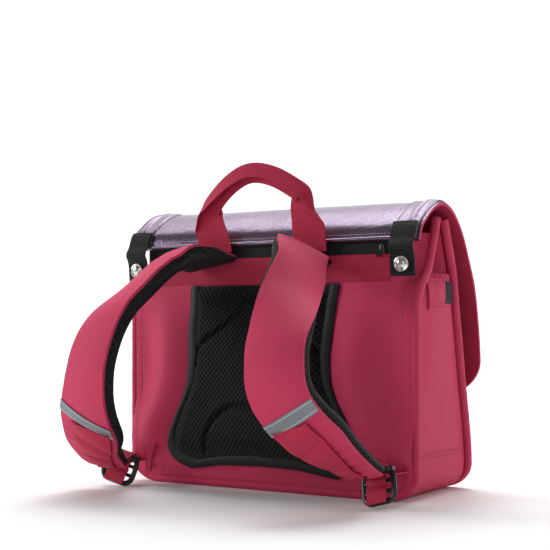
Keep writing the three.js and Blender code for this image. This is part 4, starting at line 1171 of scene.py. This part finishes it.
def snap(name, at, facing, radius, high):
    """Press stud cap: a rolled rim round a low dome, spun from sheet."""
    profile = [
        (0.86, 0), (1, 0.15), (1, 0.42), (0.93, 0.6), (0.80, 0.58), (0.72, 0.44), (0.66, 0.50), (0.58, 0.74),
        (0.42, 0.92), (0.2, 1), (0.05 / radius, 1),
    ]
    place = Matrix.Translation(at) @ Vector((0, 0, 1)).rotation_difference(facing).to_matrix().to_4x4()
    path = [place @ Vector((0, 0, high * h)) for _, h in profile]
    rings = [[place @ Vector((x, y, high * h)) for x, y in oval(radius * r, radius * r, 40)] for r, h in profile]
    skin(name, path, rings, SILVER, [name])


# Straps


def strap_course(lift, spread):
    points = []
    for row in STRAP_COURSE:
        x = mix(STRAP_ROOT[0], TIP_X, row["out"])
        x += spread * smooth(row["out"], 0.08, 0.35) * (1 - smooth(row["out"], 0.85, 1))
        y = BACK - 2 * GAP - WEBBING - row["reach"] * STRAP_REACH
        z = row["up"] * STRAP_ROOT[1] + lift * smooth(row["out"], 0.55, 1)
        points.append((x, y, z))
    return Course(points)


STRAPS = {side: strap_course(lift, STRAP_SPREAD[side]) for side, lift in LIFT.items()}
STRAP_TABLE = [{**row, "along": i / (len(STRAP_COURSE) - 1)} for i, row in enumerate(STRAP_COURSE)]


@functools.cache
def strap_frame(t, side):
    line = STRAPS[side]
    s = line.knot(t)
    along = line.tangent(t)
    across = (Vector((1, 0, 0)) - along * along.x).normalized()
    inward = across.cross(along).normalized()
    turn = math.radians(mix(*STRAP_TURN[side], smooth(s, 0.26, 0.52)))
    turn = turn * smooth(s, 0.05, 0.28) * (1 - smooth(s, 0.72, 0.98))
    across, inward = (
        across * math.cos(turn) + inward * math.sin(turn),
        inward * math.cos(turn) - across * math.sin(turn),
    )
    half = STRAP_WIDTH / 2 * read(STRAP_TABLE, "along", "wide", s)
    return line.point(t), across, inward, half, read(STRAP_TABLE, "along", "thick", s)


def strap_point(t, v, off, side):
    """A point of a strap on the wearer's right, mirrored for the left one."""
    at, across, inward, half, thick = strap_frame(t, side)
    p = at + across * (v * half) + inward * (off(thick, v) + STRAP_CROWN * thick * v * v)
    return Vector((p.x if side == "right" else -p.x, p.y, p.z))


def cover_foot(thick, v):
    return STRAP_COVER * thick * (1 - 0.45 * v * v)


def mesh_foot(thick, v):
    return cover_foot(thick, v) + GAP + STRAP_MESH * thick * (1 - 0.10 * v ** 4)


STRAP_START = BACK - 2 * GAP - WEBBING


def clipped(p):
    return Vector((p.x, min(p.y, STRAP_START - 0.05), p.z))


def strap_cover(side):
    """Cloth over the strap's foam: smooth and full, with slight drag folds towards its lower end."""
    cols = [math.copysign(abs(c) ** 0.8, c) for c in even(36)]
    def upper(t):
        def off(_, v):
            low_end = smooth(t, 0.72, 0.95)
            folds = 1.1 * low_end * math.sin(t * 210 + v * 2.2) * (1 - abs(v) ** 3)
            soft = waviness((t * 500, v * 30, 0), 45, 0.9, 15.0 if side == "right" else 19.0)
            return folds + soft * (1 - v ** 4)
        return off
    outer = grid_of(steps(200), cols, lambda t, v: clipped(strap_point(t, v, upper(t), side)))
    inner = grid_of(steps(200), cols, lambda t, v: clipped(strap_point(t, v, cover_foot, side)))
    name = "strap_cover_" + side
    shell(name, outer, inner, PINK, sharp=70)


def strap_mesh(side):
    """Air mesh round the strap's sides and underside, with a smooth tape binding along its far edges."""
    wall, flat = 7, 40
    section = [(-1 - 0.035 * math.sin(math.pi * k / wall), k / wall) for k in range(wall)]
    section += [(2 * t - 1, 1.0) for t in steps(flat)]
    section += [(-v, share) for v, share in reversed(section[:wall])]
    count = 300
    def place(outside):
        def point(t, station):
            v, share = station
            def off(thick, w):
                edge = mix(0.86, 1.0, smooth(1 - abs(w), 0, 0.10))
                return mix(cover_foot(thick, w) + GAP, mesh_foot(thick, w) * edge, share if outside else 0.0)
            return clipped(strap_point(t, v if outside else v * 0.96, off, side))
        return grid_of(steps(count), section, point)
    outer, inner = place(True), place(False)
    along, across = grid_lengths(outer)
    uv = lambda i, j: (across[j], along[i])
    name = "strap_mesh_" + side
    piece = shell(name, outer, inner, MESH, BLACK_TAPE, BLACK_TAPE, uv=uv, sharp=80)
    piece.data.materials.append(BLACK_TAPE)
    cols = len(section)
    bound = {wall - 3, wall - 2, wall - 1, wall, wall + 1}
    bound |= {cols - 2 - j for j in bound}
    for k, polygon in enumerate(piece.data.polygons[:2 * count * (cols - 1)]):
        if k % 2 == 0 and (k // 2) % (cols - 1) in bound:
            polygon.material_index = 3


def strap_tape(side):
    """Reflective tape sewn across the strap's face, with a row of thread along each edge."""
    half = TAPE["tall"] / 2 / STRAPS[side].length
    rows = [half * (2 * t - 1) for t in steps(12)]
    cols = even(30)
    def point(d, v, lift):
        return strap_point(TAPE[side] + d - TAPE["slant"] * v, v, lambda thick, w: -lift, side)
    def place(lift):
        return grid_of(rows, cols, lambda d, v: point(d, v, lift))
    name = "strap_tape_" + side
    shell(name, place(1.5), place(0.7), TAPE_GREY, centred=True)
    lines = [[point(d * 2 * half, v, 1.55) for v in cols[1:-1]] for d in (-0.36, 0.36)]
    stitches(name + "_stitches", lines, TAPE_THREAD, 0.4)


def lock_frame(side):
    """Puts a piece drawn in the lock's own plane, +Y down from the strap and +Z to the bag, in its place."""
    across = Vector(LOCK_HANG["across"]).normalized()
    down = Vector(LOCK_HANG["down"])
    down = (down - across * down.dot(across)).normalized()
    turn = Matrix((across, down, across.cross(down))).transposed().to_4x4()
    place = Matrix.Translation(Vector((LOCK_AT[0], LOCK_AT[1], LOCK_HANG[side]))) @ turn
    return place if side == "right" else Matrix.Diagonal((-1, 1, 1, 1)) @ place


def strap_webbing(side):
    """Webbing sewn on the strap's lower end and round the lock's first bar."""
    ts = [mix(TAPE[side] + STRAP_BAND["after"], STRAP_BAND["to"], t) for t in steps(60)]
    cols = even(14)
    def on_strap(lift):
        grid = []
        for t in ts:
            share = (t - ts[0]) / (ts[-1] - ts[0])
            wide = mix(STRAP_BAND["full"], STRAP_BAND["width"], smooth(share, 0.35, 1.0))
            half = wide / STRAP_WIDTH
            row = []
            for v in cols:
                slanted = share * 3 + v * 0.22
                puff = 3.0 * abs(math.sin(slanted * math.pi)) ** 0.7 * (1 - 0.5 * v ** 4)
                row.append(strap_point(t, STRAP_BAND["side"] + half * v, lambda th, w: -lift - puff, side))
            grid.append(row)
        return grid
    place = lock_frame(side)
    first = LOCK["bar"] / 2 - LOCK["length"] / 2
    def at_bar(lift):
        around = [(2.5, -13.0), (-0.5, -8.0), (-3.4, -3.4), (-4.4, 0.6), (-2.6, 3.6), (0.6, 4.4)]
        return [[place @ Vector((v * STRAP_BAND["width"] / 2, first + y * (1 + lift * 0.2), z * (1 + lift * 0.3)))
                 for v in cols] for y, z in around]
    outer = on_strap(2.2) + at_bar(WEBBING * 0.6)
    inner = on_strap(0.9) + at_bar(0)
    name = "strap_webbing_" + side
    shell(name, outer, inner, FLAT_BAND, sharp=60)


def ladder_lock(side):
    """Moulded ladder lock: a rounded frame with cross bars, glossy where the mould was polished."""
    place = lock_frame(side)
    w, l, r = LOCK["width"] / 2 - LOCK["wall"] / 2, LOCK["length"] / 2 - LOCK["bar"] / 2, LOCK["round"]
    ring = []
    for cx, cy, from_angle in ((w - r, l - r, 0), (-w + r, l - r, 90), (-w + r, -l + r, 180), (w - r, -l + r, 270)):
        for t in steps(10):
            a = math.radians(from_angle + 90 * t)
            ring.append(place @ Vector((cx + r * math.cos(a), cy + r * math.sin(a), 0)))
    up = (place.to_3x3() @ Vector((0, 0, 1))).normalized()
    name = "ladder_lock_" + side
    sweep(name, ring, oval(LOCK["wall"] / 2, LOCK["thick"] / 2, 16), PLASTIC, [name], True, up)
    pitch = (LOCK["length"] - LOCK["bar"]) / 3
    heavy = [place @ Vector((mix(-w - 2, w + 2, t), -l, -1.2)) for t in steps(16)]
    def grip(t):
        full = 1 - 0.35 * abs(2 * t - 1) ** 6
        return oval(3.4 * full, 3.6 * full, 20)
    sweep("ladder_lock_grip_" + side, heavy, grip, PLASTIC, (), False, up)
    for k in (1, 2):
        y = -LOCK["length"] / 2 + LOCK["bar"] / 2 + k * pitch
        bar = [place @ Vector((mix(-w, w, t), y, 0.4 * math.sin(math.pi * t))) for t in steps(12)]
        thin = oval(LOCK["bar"] / 2, LOCK["thick"] * 0.42, 12)
        sweep(f"ladder_lock_bar_{k}_{side}", bar, thin, PLASTIC, (), False, up)


def adjust_webbing(side):
    """Webbing from the bag's corner, up through the lock, over its bar and down to the free tail."""
    route = [
        (-20, 40), (-15, 20), (-12.5, 8), (-11, 2), (-9.4, -2.6), (-5.6, -4.6), (-1.6, -3.2), (0.2, -1.6),
        (2.2, -3.2), (5.6, -5.0), (10.5, -5.2), (17.5, -6.6),
    ]
    line = Course([(0, y, z) for y, z in route], 12)
    place = lock_frame(side)
    def ribbon(lift):
        def point(t, v):
            p, d = line.point(t), line.tangent(t)
            return place @ (Vector((v * LOWER_BAND_WIDTH / 2, p.y, p.z)) + Vector((0, d.z, -d.y)) * lift)
        return grid_of(steps(110), even(12), point)
    name = "adjust_webbing_" + side
    shell(name, ribbon(WEBBING / 2), ribbon(-WEBBING / 2), PINK_BAND, sharp=60)


def anchor_tab(side):
    """Folded triangle of cloth sewn on the bag's lower corner, which holds the webbing's end."""
    sign = 1 if side == "right" else -1
    corners = [(ANCHOR["x"] + ANCHOR["out"], ANCHOR["top"]), (ANCHOR["x"] - ANCHOR["side"], ANCHOR["top"]),
               (ANCHOR["x"], ANCHOR["low"]), (ANCHOR["x"] - ANCHOR["foot"], ANCHOR["low"])]
    def place(lift):
        def point(u, v):
            top = mix(corners[1][0], corners[0][0], v)
            foot = mix(corners[3][0], corners[2][0], v)
            x = mix(foot, top, u)
            z = mix(ANCHOR["low"], ANCHOR["top"], u) - 3 * (1 - v) * (1 - u) - 7 * v * u
            fold = 1.0 * math.exp(-((v - 0.35 - 0.2 * u) / 0.08) ** 2) if lift else 0
            crown = lift * (0.6 + 0.4 * math.sin(math.pi * v) * math.sin(math.pi * min(1, u + 0.1)))
            return sign * x, back_face(x, z) - GAP - crown - fold, z
        return grid_of(steps(24), steps(24), point)
    name = "anchor_tab_" + side
    outer = place(3.0)
    shell(name, outer, place(0.0), PINK)
    lines = [[p + Vector((0, -0.1, 0)) for p in outer[22][2:-2]]]
    stitches(name + "_stitches", lines, PINK_THREAD)


# Handle


def handle():
    """Ribbed webbing that rises flat from its two roots and is folded over and sewn shut at the grip."""
    root = FLAP_START - 3 * GAP - 2.6
    low, top = HANDLE_LINE[0]["z"], max(row["z"] for row in HANDLE_LINE)
    points = [(r["x"], root - HANDLE["lean"] * (r["z"] - low) / (top - low), r["z"]) for r in HANDLE_LINE]
    line = Course(points)
    table = [{**r, "along": i / (len(HANDLE_LINE) - 1)} for i, r in enumerate(HANDLE_LINE)]
    cols = even(56)
    half = HANDLE["web"] / 2
    bend = 1.7
    def section(t, v, lift):
        s = line.knot(t)
        fold = read(table, "along", "fold", s)
        along = line.tangent(t)
        face = (Vector((0, -1, 0)) + along * along.y).normalized()
        outward = along.cross(face).normalized()
        w = v * half
        past = w - half * (1 - fold)
        turn_full = (math.pi - math.radians(read(table, "along", "open", s))) * smooth(fold, 0, 0.35)
        if past <= 0:
            place, normal = outward * (w - half * (1 - fold)), face
        else:
            turn = min(past / bend, turn_full)
            rest = max(0.0, past - bend * turn_full)
            run = outward * math.cos(turn) + face * math.sin(turn)
            place = outward * (bend * math.sin(turn)) + face * (bend * (1 - math.cos(turn))) + run * rest
            normal = face * math.cos(turn) - outward * math.sin(turn)
        middle = half * (1 - fold) * smooth(1 - fold, 0, 1)
        return line.point(t) + outward * middle + place + normal * lift
    outer = grid_of(steps(240), cols, lambda t, v: section(t, v, WEBBING / 2))
    inner = grid_of(steps(240), cols, lambda t, v: section(t, v, -WEBBING / 2))
    run = grid_lengths(outer)[0]
    flat = lambda i, j: (run[i], j / 56 * HANDLE["web"])
    shell("handle", outer, inner, PINK_BAND, uv=flat, sharp=60)


# Assembly of the pieces


def place_camera():
    """The photograph's own view."""
    camera_data = bpy.data.cameras.new("photo_camera")
    camera_data.lens = CAMERA["lens"]
    camera_data.sensor_width = CAMERA["sensor"]
    camera_data.shift_y = CAMERA["shift_y"]
    camera_data.clip_end = 50
    camera = bpy.data.objects.new("photo_camera", camera_data)
    camera.location = Vector(CAMERA["at"]) * MM
    camera.rotation_euler = (math.radians(90), 0, math.radians(CAMERA["azimuth"]))
    bpy.context.scene.collection.objects.link(camera)
    bpy.context.scene.camera = camera


def studio():
    """A pale floor that turns up behind the bag, a large soft key from the left and a weaker fill."""
    vertices, faces = [], []
    reach, back = 6.0, 2.5
    profile = [(-6.0, 0.0)] + [(back + 1.5 * math.sin(a), 1.5 - 1.5 * math.cos(a))
                               for a in (k * math.pi / 32 for k in range(17))] + [(back + 1.5, 6.0)]
    turn = Matrix.Rotation(math.radians(CAMERA["azimuth"]), 4, "Z")
    for y, z in profile:
        for x in (-reach, reach):
            vertices.append(turn @ Vector((x, y, z)))
    for i in range(len(profile) - 1):
        faces.append([2 * i, 2 * i + 1, 2 * i + 3, 2 * i + 2])
    mesh = bpy.data.meshes.new("studio_floor")
    mesh.from_pydata(vertices, [], faces)
    mesh.shade_smooth()
    floor = bpy.data.objects.new("studio_floor", mesh)
    bpy.context.scene.collection.objects.link(floor)
    mesh.materials.append(plain("white_paper", "#FAFAFA", "#F6F6F6", 0.9, 3.0, 0.0))
    lights = [
        {"name": "key", "at": (-2.6, -1.7, 1.15), "size": 1.2, "power": 50},
        {"name": "side", "at": (2.2, 1.5, 0.9), "size": 1.2, "power": 19},
        {"name": "top", "at": (0.1, 1.3, 2.7), "size": 1.9, "power": 46},
        {"name": "front", "at": (0.9, -2.5, 0.9), "size": 1.0, "power": 6},
        {"name": "backdrop", "at": (-1.4, 1.2, 3.4), "size": 2.6, "power": 110, "aim": (-1.6, 3.2, 0.6)},
    ]
    for light in lights:
        data = bpy.data.lights.new(light["name"], "AREA")
        data.size = light["size"]
        data.energy = light["power"]
        lamp = bpy.data.objects.new(light["name"], data)
        lamp.location = light["at"]
        aim = Vector(light.get("aim", (0, 0, 0.15))) - Vector(light["at"])
        lamp.rotation_euler = aim.to_track_quat("-Z", "Y").to_euler()
        bpy.context.scene.collection.objects.link(lamp)
    world = bpy.data.worlds.new("soft_white_room")
    world.use_nodes = True
    world.node_tree.nodes["Background"].inputs[0].default_value = hex_colour("#FFFFFF")
    world.node_tree.nodes["Background"].inputs[1].default_value = 0.20
    bpy.context.scene.world = world
    bpy.context.scene.view_settings.view_transform = "Standard"


place_camera()
studio()

gusset()
base_wrap()
rolled_edge("back_piping", back_edge, 1)
rolled_edge("front_piping", front_edge, -1)
for side, suffix in NAMED.items():
    for make in (side_pocket, side_patch, gusset_stud, flap_border, flap_clasp, corner_tab):
        make(side)
    for make in (strap_cover, strap_mesh, strap_tape, strap_webbing, ladder_lock, adjust_webbing, anchor_tab):
        make(suffix)
back_panel()
front_panel()
front_pocket()
band_on_back("top_band", BAND_LOW, BAND_HIGH - GAP, PINK_BAND, 0.4)
band_on_back("hinge_strip", BAND_HIGH, STRIP_HIGH, BLACK_BAND, 0.2)
zip_parts()
back_pad()
pad_binding()
flap()
flap_welt()
handle()
